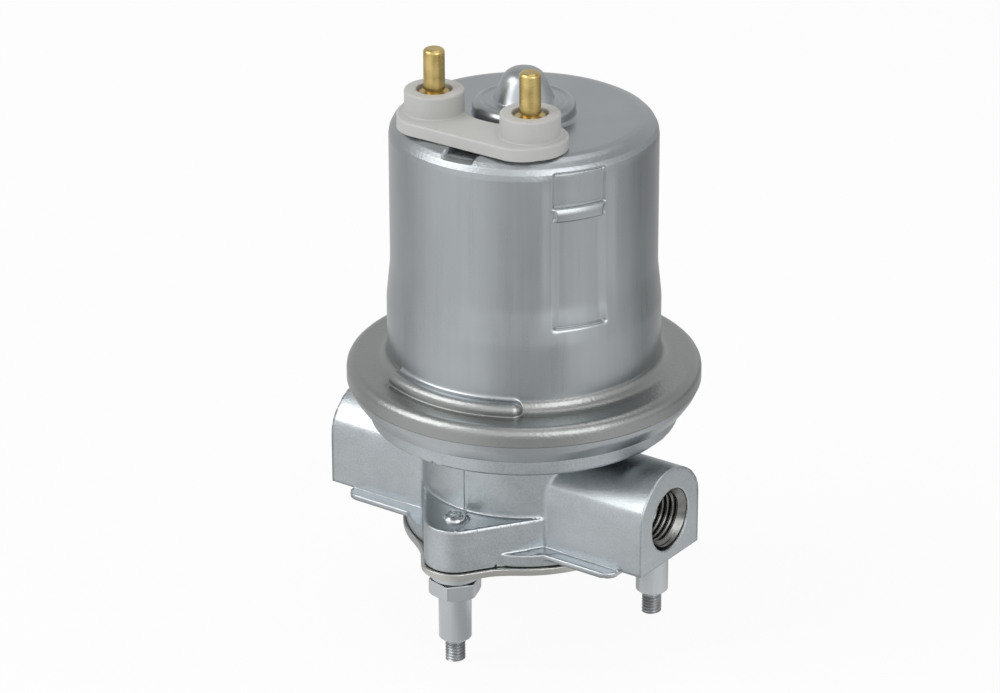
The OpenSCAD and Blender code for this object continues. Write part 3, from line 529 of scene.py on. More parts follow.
@dataclass(frozen=True)
class Moulded(Finish):
    """Moulded plastic with a fine matt grain.

    Attributes:
        grain: Grains per metre.
        clouds: Slow changes of colour per metre.
        specks: Specks per metre.
    """

    grain: float = 3600
    clouds: float = 110
    specks: float = 420

    def look(self, graph: Graph, place: Value) -> Look:
        """Describe the grain, faint clouds and sparse specks.

        Args:
            graph: The material's graph.
            place: The object coordinates.

        Returns:
            The surface's colour, roughness and bump.
        """
        grain = graph.noise(place, self.grain, 2)
        cloud = graph.noise(place, self.clouds, 3)
        speck = 1 - graph.cells(place, self.specks).ramp(0.03, 0.08)
        return Look(
            graph.mix(cloud * 0.5 + speck * 0.5, self.colour, self.dark),
            self.roughness + (grain - 0.5) * 0.16 + (cloud - 0.5) * 0.08,
            grain * 0.6 + cloud * 0.4,
            0.015,
        )


@dataclass(frozen=True)
class Layered(Finish):
    """Thin sheets stacked upwards, or a wound wire seen from its side.

    Attributes:
        pitch: Thickness of a sheet or wire, in millimetres.
        clouds: Slow changes of colour per metre.
    """

    pitch: float = 0.5
    clouds: float = 260

    def look(self, graph: Graph, place: Value) -> Look:
        """Describe one line for each sheet or wire.

        Args:
            graph: The material's graph.
            place: The object coordinates.

        Returns:
            The surface's colour, roughness and bump.
        """
        height = graph.axes(place)[2]
        line = (height * (2 * math.pi / (self.pitch * MM))).sine() * 0.5 + 0.5
        cloud = graph.noise(place, self.clouds, 3)
        return Look(
            graph.mix(line * 0.6 + cloud * 0.4, self.dark, self.colour),
            self.roughness + (cloud - 0.5) * 0.15,
            line,
            0.08,
        )


class Surface(Enum):
    """Every finish on the pump; the first of two with the same slot is the one that plain nodes get."""

    CAN = DrawnSteel(
        "stamped_steel",
        (0.42, 0.445, 0.46),
        (0.335, 0.355, 0.37),
        metallic=1.0,
        roughness=0.3,
        top=105.6,
        # Painted shade: the flange band is darker to stand for the dark can wall that it reflects; its warmer
        # tint is the flange's own.
        edge=(40.0, 46.8),
        band_tone_and_painted_shade=(0.30, 0.31, 0.30),
    )
    CASTING = CastMetal("die_casting", (0.48, 0.515, 0.535), (0.36, 0.385, 0.40), 1.0, 0.36)
    PLATED = DrawnSteel(
        "plated_steel",
        (0.56, 0.585, 0.60),
        (0.42, 0.44, 0.455),
        metallic=1.0,
        roughness=0.3,
        top=200.0,
        edge=(-0.6, 2.4),
        band_tone_and_painted_shade=(0.47, 0.465, 0.435),
    )
    # Painted shade: the port threads are a much darker copy of the casting, standing for the shade deep in
    # the bores.
    CUT = Turned("die_casting", (0.27, 0.275, 0.265), (0.11, 0.11, 0.105), 1.0, 0.25)
    # Painted shade: the stud threads and tips are a darker copy of the plated steel, darkened to dull the
    # white floor's reflection at the tips.
    ROLLED_PAINTED_SHADE = Turned("plated_steel", (0.38, 0.39, 0.40), (0.24, 0.25, 0.26), 1.0, 0.32)
    BRASS = Turned("brass", (0.66, 0.51, 0.21), (0.46, 0.34, 0.13), 1.0, 0.3)
    NYLON = Moulded("nylon", (0.52, 0.52, 0.505), (0.42, 0.42, 0.41), 0.0, 0.5)
    PHENOLIC = Moulded("phenolic", (0.045, 0.022, 0.012), (0.02, 0.012, 0.008), 0.0, 0.45)
    RUBBER = Moulded("rubber", (0.014, 0.014, 0.015), (0.03, 0.03, 0.03), 0.0, 0.65)
    GROUND = Turned("ground_steel", (0.56, 0.57, 0.58), (0.45, 0.46, 0.47), 1.0, 0.2)
    SINTERED = CastMetal("sintered_steel", (0.25, 0.25, 0.245), (0.15, 0.15, 0.15), 1.0, 0.55)
    CORE = Layered("core_steel", (0.30, 0.30, 0.31), (0.12, 0.12, 0.13), 1.0, 0.45, 0.5)
    FERRITE = Moulded("ferrite", (0.02, 0.02, 0.022), (0.035, 0.035, 0.036), 0.0, 0.6)
    COPPER = Layered("copper", (0.62, 0.27, 0.14), (0.35, 0.12, 0.05), 0.9, 0.32, 0.7)
    BRONZE = CastMetal("bronze", (0.42, 0.26, 0.12), (0.26, 0.15, 0.07), 1.0, 0.45)
    CARBON = Moulded("carbon", (0.022, 0.022, 0.024), (0.05, 0.05, 0.05), 0.0, 0.5)
    SPRING = DrawnSteel("spring_steel", (0.50, 0.51, 0.52), (0.36, 0.37, 0.38), 1.0, 0.3)


# Meshes


@dataclass
class Shape:
    """A mesh in the making, in millimetres.

    Attributes:
        points: Its vertices, one row each.
        faces: Its faces, as rows of vertex numbers.
        normals: The normal at each face corner, where the shape knows them.
    """

    points: np.ndarray
    faces: list[Sequence[int]]
    normals: np.ndarray | None = None

    def moved(self, offset: Triple, turn: float = 0.0) -> Shape:
        """Return the shape turned about the upright axis and then moved.

        Args:
            offset: The way it moves, in millimetres.
            turn: The turn in degrees.

        Returns:
            The new shape.
        """
        c, s = math.cos(math.radians(turn)), math.sin(math.radians(turn))
        spin = np.array([[c, s, 0], [-s, c, 0], [0, 0, 1]])
        normals = None if self.normals is None else self.normals @ spin
        return Shape(self.points @ spin + np.array(offset), self.faces, normals)

    def piece(self, name: str, surface: Surface, body: str, *nodes: str) -> bpy.types.Object:
        """Make the object and hang it on the frame.

        Args:
            name: The piece's name.
            surface: Its finish.
            body: The body that it moves with.
            nodes: The nodes that it stands for.

        Returns:
            The new object.
        """
        mesh = bpy.data.meshes.new(name)
        mesh.from_pydata((self.points * MM).tolist(), [], [list(face) for face in self.faces])
        mesh.validate(clean_customdata=False)
        mesh.shade_smooth()
        if self.normals is not None:
            mesh.normals_split_custom_set(self.normals.tolist())
        return hang(bpy.data.objects.new(name, mesh), surface, body, *nodes)


def hang(piece: bpy.types.Object, surface: Surface, body: str, *nodes: str) -> bpy.types.Object:
    """Dress a piece and hang it on the frame.

    Args:
        piece: The object, with its place in its mesh.
        surface: Its finish.
        body: The body that it moves with.
        nodes: The nodes that it stands for.

    Returns:
        The same object.
    """
    bpy.context.scene.collection.objects.link(piece)
    piece.data.materials.clear()
    piece.data.materials.append(surface.value.material())
    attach(piece, body)
    if nodes:
        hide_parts(*nodes)
    LOG.info("%s: %d faces on %s", piece.name, len(piece.data.polygons), body)
    return piece


def hang_mesh(mesh: bpy.types.Mesh, surface: Surface, body: str, *nodes: str) -> bpy.types.Object:
    """Make the object of a finished mesh, with the mesh's name, and hang it on the frame."""
    return hang(bpy.data.objects.new(mesh.name, mesh), surface, body, *nodes)


def sheet_faces(rows: int, columns: int, wrap: bool = True) -> list[Sequence[int]]:
    """Number the faces between rows of points.

    Args:
        rows: How many rows there are.
        columns: How many points each row has.
        wrap: Whether a row's end meets its start.

    Returns:
        The faces.
    """
    across = columns if wrap else columns - 1
    faces = []
    for row in range(rows - 1):
        for column in range(across):
            after = (column + 1) % columns
            low, high = row * columns, (row + 1) * columns
            faces.append((low + column, high + column, high + after, low + after))
    return faces


def ring_points(radius: Any, angle: np.ndarray, height: Any) -> np.ndarray:
    """Place points round the upright axis.

    Args:
        radius: Their distance from the axis, one number or one for each.
        angle: Their angles in radians.
        height: Their height, one number or one for each.

    Returns:
        One row for each point.
    """
    return np.column_stack([radius * np.cos(angle), radius * np.sin(angle), height + 0 * angle])


def fan(tip: int, first: int, count: int, down: bool = False) -> list[Sequence[int]]:
    """Number the faces between one point and a closed row.

    Args:
        tip: The point's number.
        first: The number of the row's first point.
        count: How many points the row has.
        down: Whether the faces look the other way.

    Returns:
        The faces.
    """
    pairs = [(first + i, first + (i + 1) % count) for i in range(count)]
    return [(tip, b, a) if down else (tip, a, b) for a, b in pairs]


def respaced(path: np.ndarray, count: int) -> np.ndarray:
    """Return as many points as asked, evenly spaced along a path.

    Args:
        path: Radius and height of each point.
        count: How many points are asked for.

    Returns:
        The new points.
    """
    gaps = np.concatenate([[0], np.cumsum(np.linalg.norm(np.diff(path, axis=0), axis=1))])
    share = np.linspace(0, gaps[-1], count)
    return np.column_stack([np.interp(share, gaps, path[:, i]) for i in (0, 1)])


def turned(profile: Outline, columns: int = 96, centre: Triple = (0, 0, 0)) -> Shape:
    """Turn a profile about an upright axis.

    Args:
        profile: Radius and height of each point. It runs so that the material is on its right.
        columns: How many steps go round.
        centre: Where the axis stands.

    Returns:
        The turned shape, closed where the profile meets the axis.
    """
    profile = list(profile)
    first = profile.pop(0) if profile[0][0] < 1e-6 else None
    last = profile.pop() if profile[-1][0] < 1e-6 else None
    angle = np.linspace(0, 2 * math.pi, columns, endpoint=False)
    points = [ring_points(r, angle, z) for r, z in profile]
    faces = sheet_faces(len(profile), columns)
    count = len(profile) * columns
    if first is not None:
        points.append([[0, 0, first[1]]])
        faces += fan(count, 0, columns)
        count += 1
    if last is not None:
        points.append([[0, 0, last[1]]])
        faces += fan(count, (len(profile) - 1) * columns, columns, True)
    return Shape(np.vstack(points) + np.array(centre), faces)


def rounded(path: Sequence[Triple], steps: int = 6) -> Outline:
    """Round the corners of a path.

    Args:
        path: Radius, height and corner radius of each point.
        steps: How many steps each corner gets.

    Returns:
        The points of the rounded path.
    """
    points: Outline = []
    for i, (x, z, r) in enumerate(path):
        if r <= 0 or i in (0, len(path) - 1):
            points.append((x, z))
            continue
        here = np.array([x, z])
        back = np.array(path[i - 1][:2]) - here
        ahead = np.array(path[i + 1][:2]) - here
        back, ahead = back / np.linalg.norm(back), ahead / np.linalg.norm(ahead)
        half = math.acos(float(np.clip(back @ ahead, -1, 1))) / 2
        start = here + back * r / math.tan(half)
        middle = here + (back + ahead) / np.linalg.norm(back + ahead) * r / math.sin(half)
        arm = start - middle
        turn = (math.pi - 2 * half) * (-1 if back[0] * ahead[1] - back[1] * ahead[0] > 0 else 1)
        for k in range(steps + 1):
            a = turn * k / steps
            c, s = math.cos(a), math.sin(a)
            points.append((middle[0] + arm[0] * c - arm[1] * s, middle[1] + arm[0] * s + arm[1] * c))
    return points


def slope(low: float, high: float, x: Any) -> Any:
    """Rise evenly from 0 at low to 1 at high."""
    return np.clip((x - low) / (high - low), 0, 1)


def smooth(low: float, high: float, x: Any) -> Any:
    """Rise smoothly from 0 at low to 1 at high."""
    t = slope(low, high, x)
    return t * t * (3 - 2 * t)


def between(foot: Span, head: Span, x: Any) -> Any:
    """Rise smoothly from 0 to 1 over the foot and fall back to 0 over the head."""
    return smooth(*foot, x) * (1 - smooth(*head, x))


# Forms described by their distance


Field = Callable[[np.ndarray], np.ndarray]


def corner_max(a: np.ndarray, b: np.ndarray, radius: float) -> np.ndarray:
    """Return the larger of two distances, with a rounded edge where they meet.

    Args:
        a: The first distances.
        b: The second distances.
        radius: The edge's radius, or 0 for a sharp one.

    Returns:
        The joint distances.
    """
    deeper = np.maximum(a, b)
    if radius <= 0:
        return deeper
    return np.minimum(-radius, deeper) + np.hypot(np.maximum(radius + a, 0), np.maximum(radius + b, 0))


@dataclass(frozen=True)
class Form:
    """A solid given by its distance field in millimetres, negative inside.

    Attributes:
        at: The distance at each of many points.
    """

    at: Field

    def join(self, other: Form, fillet: float = 0.0) -> Form:
        """Add another form, with a fillet along the seam."""
        return Form(lambda p: -corner_max(-self.at(p), -other.at(p), fillet))

    def within(self, other: Form, edge: float = 0.0) -> Form:
        """Keep what lies in both, with a rounded edge."""
        return Form(lambda p: corner_max(self.at(p), other.at(p), edge))

    def cut(self, other: Form, edge: float = 0.0) -> Form:
        """Take another form away, with a rounded edge."""
        return Form(lambda p: corner_max(self.at(p), -other.at(p), edge))

    def turn(self, degrees: float) -> Form:
        """Turn the form about the upright axis.

        Args:
            degrees: The turn.

        Returns:
            The turned form.
        """
        c, s = math.cos(math.radians(degrees)), math.sin(math.radians(degrees))
        turn = np.array([[c, -s, 0], [s, c, 0], [0, 0, 1]])
        return Form(lambda p: self.at(p @ turn))

    def shift(self, x: float, y: float, z: float = 0.0) -> Form:
        """Move the form."""
        return Form(lambda p: self.at(p - np.array([x, y, z])))

    @staticmethod
    def slab(outline: Field, low: float, high: float, edge: float = 0.0, foot: float = 0.0) -> Form:
        """Raise an outline into a solid.

        Args:
            outline: The distance to the outline, from x and y.
            low: The height of its foot.
            high: The height of its top.
            edge: The radius of its upper edge.
            foot: The radius of its lower edge.

        Returns:
            The solid.
        """

        def at(p: np.ndarray) -> np.ndarray:
            """Return the distance to the solid."""
            side = outline(p)
            return corner_max(corner_max(side, p[:, 2] - high, edge), low - p[:, 2], foot)

        return Form(at)

    @staticmethod
    def rod(radius: float, low: float, high: float, edge: float = 0.0, foot: float = 0.0) -> Form:
        """Make an upright cylinder on the axis."""
        return Form.slab(lambda p: np.hypot(p[:, 0], p[:, 1]) - radius, low, high, edge, foot)

    @staticmethod
    def bar(radius: float, z: float, start: float, end: float) -> Form:
        """Make a cylinder along x at a height.

        Args:
            radius: Its radius.
            z: The height of its axis.
            start: Where it begins.
            end: Where it ends.

        Returns:
            The cylinder.
        """
        return Form(
            lambda p: np.maximum(
                np.hypot(p[:, 1], p[:, 2] - z) - radius, np.maximum(start - p[:, 0], p[:, 0] - end)
            )
        )

    @staticmethod
    def lug(round_r: float, nose_r: float, reach: float, low: float, high: float, edge: float = 0.0) -> Form:
        """Make a lug along +x: a round part and a nose, joined by their tangents.

        Args:
            round_r: Radius of the round part, about the upright axis.
            nose_r: Radius of the nose.
            reach: Place of the nose's middle.
            low: Height of the lug's foot.
            high: Height of its top.
            edge: Radius of its upper edge.

        Returns:
            The lug.
        """
        lean = (round_r - nose_r) / reach
        slope = math.sqrt(1 - lean * lean)

        def outline(p: np.ndarray) -> np.ndarray:
            """Return the distance to the lug's outline.

            Args:
                p: The points.

            Returns:
                The distances.
            """
            across, along = np.abs(p[:, 1]), p[:, 0]
            where = slope * along - lean * across
            side = slope * across + lean * along - round_r
            root = np.hypot(across, along) - round_r
            tip = np.hypot(across, along - reach) - nose_r
            return np.where(where < 0, root, np.where(where > slope * reach, tip, side))

        return Form.slab(outline, low, high, edge)

    def slopes(self, points: np.ndarray, step: float = 0.01) -> np.ndarray:
        """Return the outward directions at points near the surface.

        Args:
            points: The points.
            step: How far round each point the distance is read.

        Returns:
            The directions, of length one.
        """
        arms = np.array([[1, -1, -1], [-1, -1, 1], [-1, 1, -1], [1, 1, 1]], float)
        total = sum(self.at(points + arm * step)[:, None] * arm for arm in arms)
        size = np.linalg.norm(total, axis=1, keepdims=True)
        return total / np.maximum(size, 1e-9)

    def shape(self, low: Triple, high: Triple, cell: float) -> Shape:
        """Mesh the form's surface, sharp edges kept, by dual contouring.

        Args:
            low: The lowest corner of the space that holds it.
            high: The highest corner.
            cell: The size of a cell.

        Returns:
            The mesh, with its normals.
        """
        start = np.array(low, float) + GRID_SHIFT
        count = np.ceil((np.array(high) - start) / cell).astype(int) + 1
        spot, quad, flip = self._crossings(start, count, cell)
        keys = (quad[..., 0] * count[1] + quad[..., 1]) * count[2] + quad[..., 2]
        used, index = np.unique(keys, return_inverse=True)
        index = index.reshape(keys.shape)
        base = start + np.stack(np.unravel_index(used, tuple(count)), 1) * cell
        point = np.clip(self._middles(spot, index, len(used)), base, base + cell)
        corner = np.where(flip[:, None], index[:, ::-1], index)
        near = point[corner] + (spot[:, None] - point[corner]) * NORMAL_SHIFT
        return Shape(point, corner.tolist(), self.slopes(near.reshape(-1, 3)))

    def _levels(self, start: np.ndarray, count: np.ndarray, cell: float) -> np.ndarray:
        """Return the distance at every point of a grid.

        Args:
            start: The grid's lowest corner.
            count: How many points it has along each axis.
            cell: The size of a cell.

        Returns:
            The distances.
        """
        level = np.empty(count)
        ys, zs = (start[i] + cell * np.arange(count[i]) for i in (1, 2))
        plane = np.stack(np.meshgrid(ys, zs, indexing="ij"), -1).reshape(-1, 2)
        for i in range(count[0]):
            p = np.column_stack([np.full(len(plane), start[0] + cell * i), plane])
            level[i] = self.at(p).reshape(count[1:])
        return level

    def _crossings(
        self, start: np.ndarray, count: np.ndarray, cell: float
    ) -> tuple[np.ndarray, np.ndarray, np.ndarray]:
        """Find where the surface crosses the grid's edges.

        Args:
            start: The grid's lowest corner.
            count: How many points it has along each axis.
            cell: The size of a cell.

        Returns:
            The crossings, the four cells round each of them, and whether their face is turned over.
        """
        level = self._levels(start, count, cell)
        inside = level < 0
        spots, quads, flips = [], [], []
        for axis in range(3):
            a = [slice(None)] * 3
            b = [slice(None)] * 3
            a[axis], b[axis] = slice(None, -1), slice(1, None)
            change = np.argwhere(inside[tuple(a)] != inside[tuple(b)])
            unit, u, v = (np.eye(3, dtype=int)[(axis + k) % 3] for k in range(3))
            d0, d1 = level[tuple(change.T)], level[tuple((change + unit).T)]
            t0, t1 = np.zeros(len(change)), np.ones(len(change))
            foot = start + change * cell
            for _ in range(4):
                t = np.clip(t0 + (t1 - t0) * d0 / np.where(d0 == d1, 1, d0 - d1), 0, 1)
                d = self.at(foot + np.outer(t, unit * cell))
                same = (d < 0) == (d0 < 0)
                t0, d0 = np.where(same, t, t0), np.where(same, d, d0)
                t1, d1 = np.where(same, t1, t), np.where(same, d1, d)
            spots.append(foot + np.outer(t, unit * cell))
            quads.append(np.stack([change - u - v, change - v, change, change - u], 1))
            flips.append(~inside[tuple(change.T)])
        return np.vstack(spots), np.vstack(quads), np.concatenate(flips)

    def _middles(self, spot: np.ndarray, index: np.ndarray, size: int) -> np.ndarray:
        """Return each cell's point, as near as can be to the planes at its crossings.

        Args:
            spot: The crossings.
            index: The four cells round each crossing.
            size: How many cells there are.

        Returns:
            The points.
        """
        lean = self.slopes(spot)
        flat, four = index.reshape(-1), np.repeat(np.arange(len(spot)), 4)
        total = np.zeros(size)
        np.add.at(total, flat, 1)
        mean = np.zeros((size, 3))
        np.add.at(mean, flat, spot[four])
        mean /= total[:, None]
        arm = spot[four] - mean[flat]
        pull = np.zeros((size, 3, 3))
        goal = np.zeros((size, 3))
        np.add.at(pull, flat, lean[four][:, :, None] * lean[four][:, None, :])
        np.add.at(goal, flat, lean[four] * np.sum(lean[four] * arm, 1)[:, None])
        pull += np.eye(3) * MIDDLE_HOLD
        return mean + np.linalg.solve(pull, goal[..., None])[..., 0]


# Geometry Nodes


class Tree(Graph):
    """A Geometry Nodes tree with named inputs."""

    def __init__(self, name: str, sizes: dict[str, float]) -> None:
        """Make the tree and its inputs.

        Args:
            name: The tree's name.
            sizes: Each input's name and its usual value; whole numbers make whole-number inputs.
        """
        super().__init__(bpy.data.node_groups.new(name, "GeometryNodeTree"))
        self.sockets: dict[str, str] = {}
        for label, size in sizes.items():
            kind = "NodeSocketInt" if isinstance(size, int) else "NodeSocketFloat"
            item = self.tree.interface.new_socket(label, in_out="INPUT", socket_type=kind)
            item.default_value = size
            self.sockets[label] = item.identifier
        self.tree.interface.new_socket("Geometry", in_out="OUTPUT", socket_type="NodeSocketGeometry")
        self.given = self.tree.nodes.new("NodeGroupInput")

    def size(self, label: str) -> Value:
        """Return one of the tree's inputs."""
        return Value(self, self._find(self.given.outputs, self.sockets[label]))

    def wound(self, geometry: Value, radius: Value, angle: Value, height: Value) -> Value:
        """Place a geometry's points round the upright axis.

        Args:
            geometry: The points.
            radius: Their distance from the axis, in millimetres.
            angle: Their angle in radians.
            height: Their height in millimetres.

        Returns:
            The moved geometry.
        """
        place = self.value(
            "ShaderNodeCombineXYZ", None, {0: radius * angle.cosine(), 1: radius * angle.sine(), 2: height}
        )
        position = self.vector("MULTIPLY", place, (MM, MM, MM))
        return self.value("GeometryNodeSetPosition", None, {"Geometry": geometry, "Position": position})

    def close(self, geometry: Value, surface: Surface) -> None:
        """End the tree: real geometry, with its material.

        Args:
            geometry: The tree's result.
            surface: Its finish.
        """
        real = self.value("GeometryNodeRealizeInstances", None, {0: geometry})
        smooth_faces = self.value("GeometryNodeSetShadeSmooth", None, {0: real})
        dressed = self.value(
            "GeometryNodeSetMaterial", None, {"Geometry": smooth_faces, "Material": surface.value.material()}
        )
        self.node("NodeGroupOutput", None, {0: dressed})

    def shape(self, name: str, sizes: dict[str, float]) -> bpy.types.Mesh:
        """Run the tree once and keep its result as a plain mesh.

        Args:
            name: The mesh's name.
            sizes: The inputs that differ from their usual values.

        Returns:
            The mesh.
        """
        host = bpy.data.objects.new(name, bpy.data.meshes.new(name + "_host"))
        bpy.context.scene.collection.objects.link(host)
        modifier = host.modifiers.new("nodes", "NODES")
        modifier.node_group = self.tree
        for label, size in sizes.items():
            modifier[self.sockets[label]] = size
        graph = bpy.context.evaluated_depsgraph_get()
        mesh = bpy.data.meshes.new_from_object(host.evaluated_get(graph))
        mesh.name = name
        host.modifiers.remove(modifier)
        bpy.data.objects.remove(host)
        return mesh


def screw_thread(surface: Surface) -> Tree:
    """Build the tree that winds a screw thread along +z from the origin.

    Args:
        surface: The thread's finish.

    Returns:
        The tree. Its chamfer widens an inner thread, or narrows an outer one, at its start by the origin.
    """
    sizes = {
        "Crest": 5.75,
        "Root": 6.8,
        "Pitch": 1.411,
        "Turns": 9.0,
        "Columns": 433,
        "Mouth": 7.7,
        "Flat": 0.14,
        "Inner": 1.0,
    }
    # Points across the thread's profile, and the share of a turn over which the thread runs out
    rows, ending = 9, 0.6
    tree = Tree(f"thread_{surface.value.slot}", sizes)
    crest, root, pitch, turns = (tree.size(n) for n in ("Crest", "Root", "Pitch", "Turns"))
    grid = tree.node(
        "GeometryNodeMeshGrid",
        None,
        {"Size X": 1.0, "Size Y": 1.0, "Vertices X": tree.size("Columns"), "Vertices Y": rows},
    )
    spot = tree.value("GeometryNodeInputPosition")
    x, y, _ = tree.axes(spot)
    along, across = x + 0.5, y + 0.5
    angle = along * turns * (2 * math.pi)
    height = (along * turns + across) * pitch
    side = ((across * 2 - 1).size() * (1 + 2 * tree.size("Flat")) - tree.size("Flat")).at_least(0).at_most(1)
    fade = (along * turns).at_most((1 - along) * turns).ramp(0.0, ending)
    radius = crest + (root - crest) * (1 - side) * fade
    inner, mouth = tree.size("Inner"), tree.size("Mouth")
    open_r = radius.at_least(mouth - height)
    closed_r = radius.at_most(mouth + height)
    radius = open_r * inner + closed_r * (1 - inner)
    moved = tree.wound(Value(tree, grid.outputs[0]), radius, angle, height)
    merged = tree.value("GeometryNodeMergeByDistance", None, {"Geometry": moved, "Distance": 0.01 * MM})
    tree.close(merged, surface)
    return tree


def wound_spring() -> Tree:
    """Build the tree that winds a round wire into a spring along +z from the origin.

    Returns:
        The tree.
    """
    tree = Tree("wound_spring", {"Radius": 2.0, "Wire": 0.25, "Length": 6.0, "Turns": 6.0})
    # Steps along the wire, sides of its section, and the share of its length that lies flat at each end
    steps, sides, flat = 190, 10, 0.12
    line = tree.value("GeometryNodeCurvePrimitiveLine", None, {"End": (0, 0, 1)})
    finer = tree.value("GeometryNodeResampleCurve", None, {"Curve": line, "Count": steps})
    along = tree.value("GeometryNodeSplineParameter")
    radius, wire, length, turns = (tree.size(n) for n in ("Radius", "Wire", "Length", "Turns"))
    rise = ((along - flat) / (1 - 2 * flat)).at_least(0).at_most(1)
    angle = along * turns * (2 * math.pi)
    height = wire + rise * (length - wire * 2)
    moved = tree.wound(finer, radius - wire, angle, height)
    ring = tree.value("GeometryNodeCurvePrimitiveCircle", None, {"Resolution": sides, "Radius": wire * MM})
    tube = tree.value(
        "GeometryNodeCurveToMesh", None, {"Curve": moved, "Profile Curve": ring, "Fill Caps": True}
    )
    tree.close(tube, Surface.SPRING)
    return tree


class Turn(Enum):
    """How a mesh made along +z is turned: each row makes a new coordinate from the old ones."""

    UP = ((1, 0, 0), (0, 1, 0), (0, 0, 1))
    DOWN = ((1, 0, 0), (0, -1, 0), (0, 0, -1))
    RIGHT = ((0, 0, -1), (0, 1, 0), (1, 0, 0))
    LEFT = ((0, 0, 1), (0, 1, 0), (-1, 0, 0))


def place_mesh(mesh: bpy.types.Mesh, centre: Triple, turn: Turn = Turn.UP) -> bpy.types.Mesh:
    """Stand a mesh made about the origin in its place.

    Args:
        mesh: The mesh, its axis along +z.
        centre: Where its start goes, in millimetres.
        turn: UP keeps it, DOWN turns it over, RIGHT lays it towards -x and LEFT towards +x.

    Returns:
        The same mesh.
    """
    spots = np.empty(len(mesh.vertices) * 3)
    mesh.vertices.foreach_get("co", spots)
    spots = spots.reshape(-1, 3) @ np.array(turn.value, float).T + np.array(centre) * MM
    mesh.vertices.foreach_set("co", spots.reshape(-1))
    mesh.update()
    return mesh


# Sub-assemblies


# Radius and angle of the three lugs; the first two carry the studs
LUGS: tuple[Span, ...] = ((29.3, -89.0), (31.2, 35.5), (31.2, 145.0))


@dataclass(frozen=True)
class Dent:
    """A small round dent beside the panel's long edges.

    Attributes:
        off: Its place outwards from the edge.
        at: Its height.
        wide: Its width.
        tall: Its height from foot to head.
        depth: Its depth.
    """

    off: float
    at: float
    wide: float
    tall: float
    depth: float

    def sink(self, off: np.ndarray, z: np.ndarray) -> np.ndarray:
        """Return how deep the sheet is pressed in at places beside the edge."""
        return self.depth * np.exp(-(((off - self.off) / self.wide) ** 2) - ((z - self.at) / self.tall) ** 2)


@dataclass(frozen=True)
class Panel:
    """The panel pressed into the can's side: two fields with a ridge between them.

    Attributes:
        at: Angle of its middle, in degrees.
        half: Half of its angle, in degrees.
        depth: Depth below its shoulders.
        shoulder: How far the sheet sinks softly beside it.
        shoulder_side: Where the shoulder runs out, counted from the panel's edge.
        shoulder_foot: Heights between which the shoulder begins.
        shoulder_head: Heights between which the shoulder ends.
        lower_foot: Heights between which the lower field begins.
        lower_head: Heights between which the lower field ends.
        upper_foot: Heights between which the upper field begins.
        upper_head: Heights between which the upper field ends.
        lower_wall: Places off the edge between which the lower field's wall rises.
        upper_wall: The same for the upper field.
        ridge_at: Height of the ridge's middle.
        ridge_half: Half of the ridge's width.
        ridge_lift: How far the ridge stands out.
        ridge_end: Places off the edge between which the ridge ends.
        creases: Height and depth of each sharp line across the panel.
        crease_width: Width of these lines.
        crease_end: Places off the edge between which these lines end.
        dents: The pits at the ridge's ends and the dimples at the lower field's corners.
        above: Height below which the can stays plain.
        outside: Radius inside which the can stays plain.
    """

    at: float = -30.6
    half: float = 11.6
    depth: float = 0.5
    shoulder: float = 0.5
    shoulder_side: Span = (0.5, 3.9)
    shoulder_foot: Span = (59.0, 84.0)
    shoulder_head: Span = (98.6, 103.6)
    lower_foot: Span = (63.9, 64.9)
    lower_head: Span = (90.4, 91.0)
    upper_foot: Span = (93.9, 94.25)
    upper_head: Span = (102.5, 102.9)
    lower_wall: Span = (-1.25, 0.65)
    upper_wall: Span = (-0.25, 0.6)
    ridge_at: float = 92.45
    ridge_half: float = 1.7
    ridge_lift: float = 0.4
    ridge_end: Span = (-0.6, 0.4)
    creases: tuple[Span, ...] = ((64.75, 0.35), (94.45, 0.45), (102.5, 0.25))
    crease_width: float = 0.17
    crease_end: Span = (-0.3, 0.3)
    dents: tuple[Dent, ...] = (Dent(-0.1, 91.9, 0.4, 0.9, 0.45), Dent(-0.4, 64.9, 0.75, 0.75, 0.22))
    above: float = 60.0
    outside: float = 29.0

    def sink(self, off: np.ndarray, z: np.ndarray) -> np.ndarray:
        """Return how deep the sheet is pressed in.

        Args:
            off: Distance outwards from the panel's long edge, round the can.
            z: Height.

        Returns:
            The depth.
        """
        shoulder = (1 - smooth(*self.shoulder_side, off)) * between(self.shoulder_foot, self.shoulder_head, z)
        lower = (1 - slope(*self.lower_wall, off)) * between(self.lower_foot, self.lower_head, z)
        upper = (1 - slope(*self.upper_wall, off)) * between(self.upper_foot, self.upper_head, z)
        arch = np.cos(np.clip((z - self.ridge_at) / self.ridge_half, -1, 1) * math.pi / 2)
        ridge = (1 - smooth(*self.ridge_end, off)) * arch
        lines = sum(deep * np.exp(-(((z - at) / self.crease_width) ** 2)) for at, deep in self.creases)
        lines = lines * (1 - smooth(*self.crease_end, off))
        fields = self.shoulder * shoulder + self.depth * np.maximum(lower, upper)
        return fields - self.ridge_lift * ridge + lines + sum(dent.sink(off, z) for dent in self.dents)


@dataclass(frozen=True)
class EdgeFlat:
    """The flat pressed into the can's upper edge, under the terminals.

    Attributes:
        lean: How far it slopes down towards the front, in degrees.
        drop: How far it lies below the rounded edge.
        left: Places along x between which it begins.
        right: Places along x between which it ends.
        front: Places along y between which it begins, towards the front.
        above: Height below which the can stays as it is.
    """

    lean: float = 8.0
    drop: float = 1.35
    left: Span = (-1.6, -1.2)
    right: Span = (6.1, 6.5)
    front: Span = (-19.0, -20.0)
    above: float = 100.0


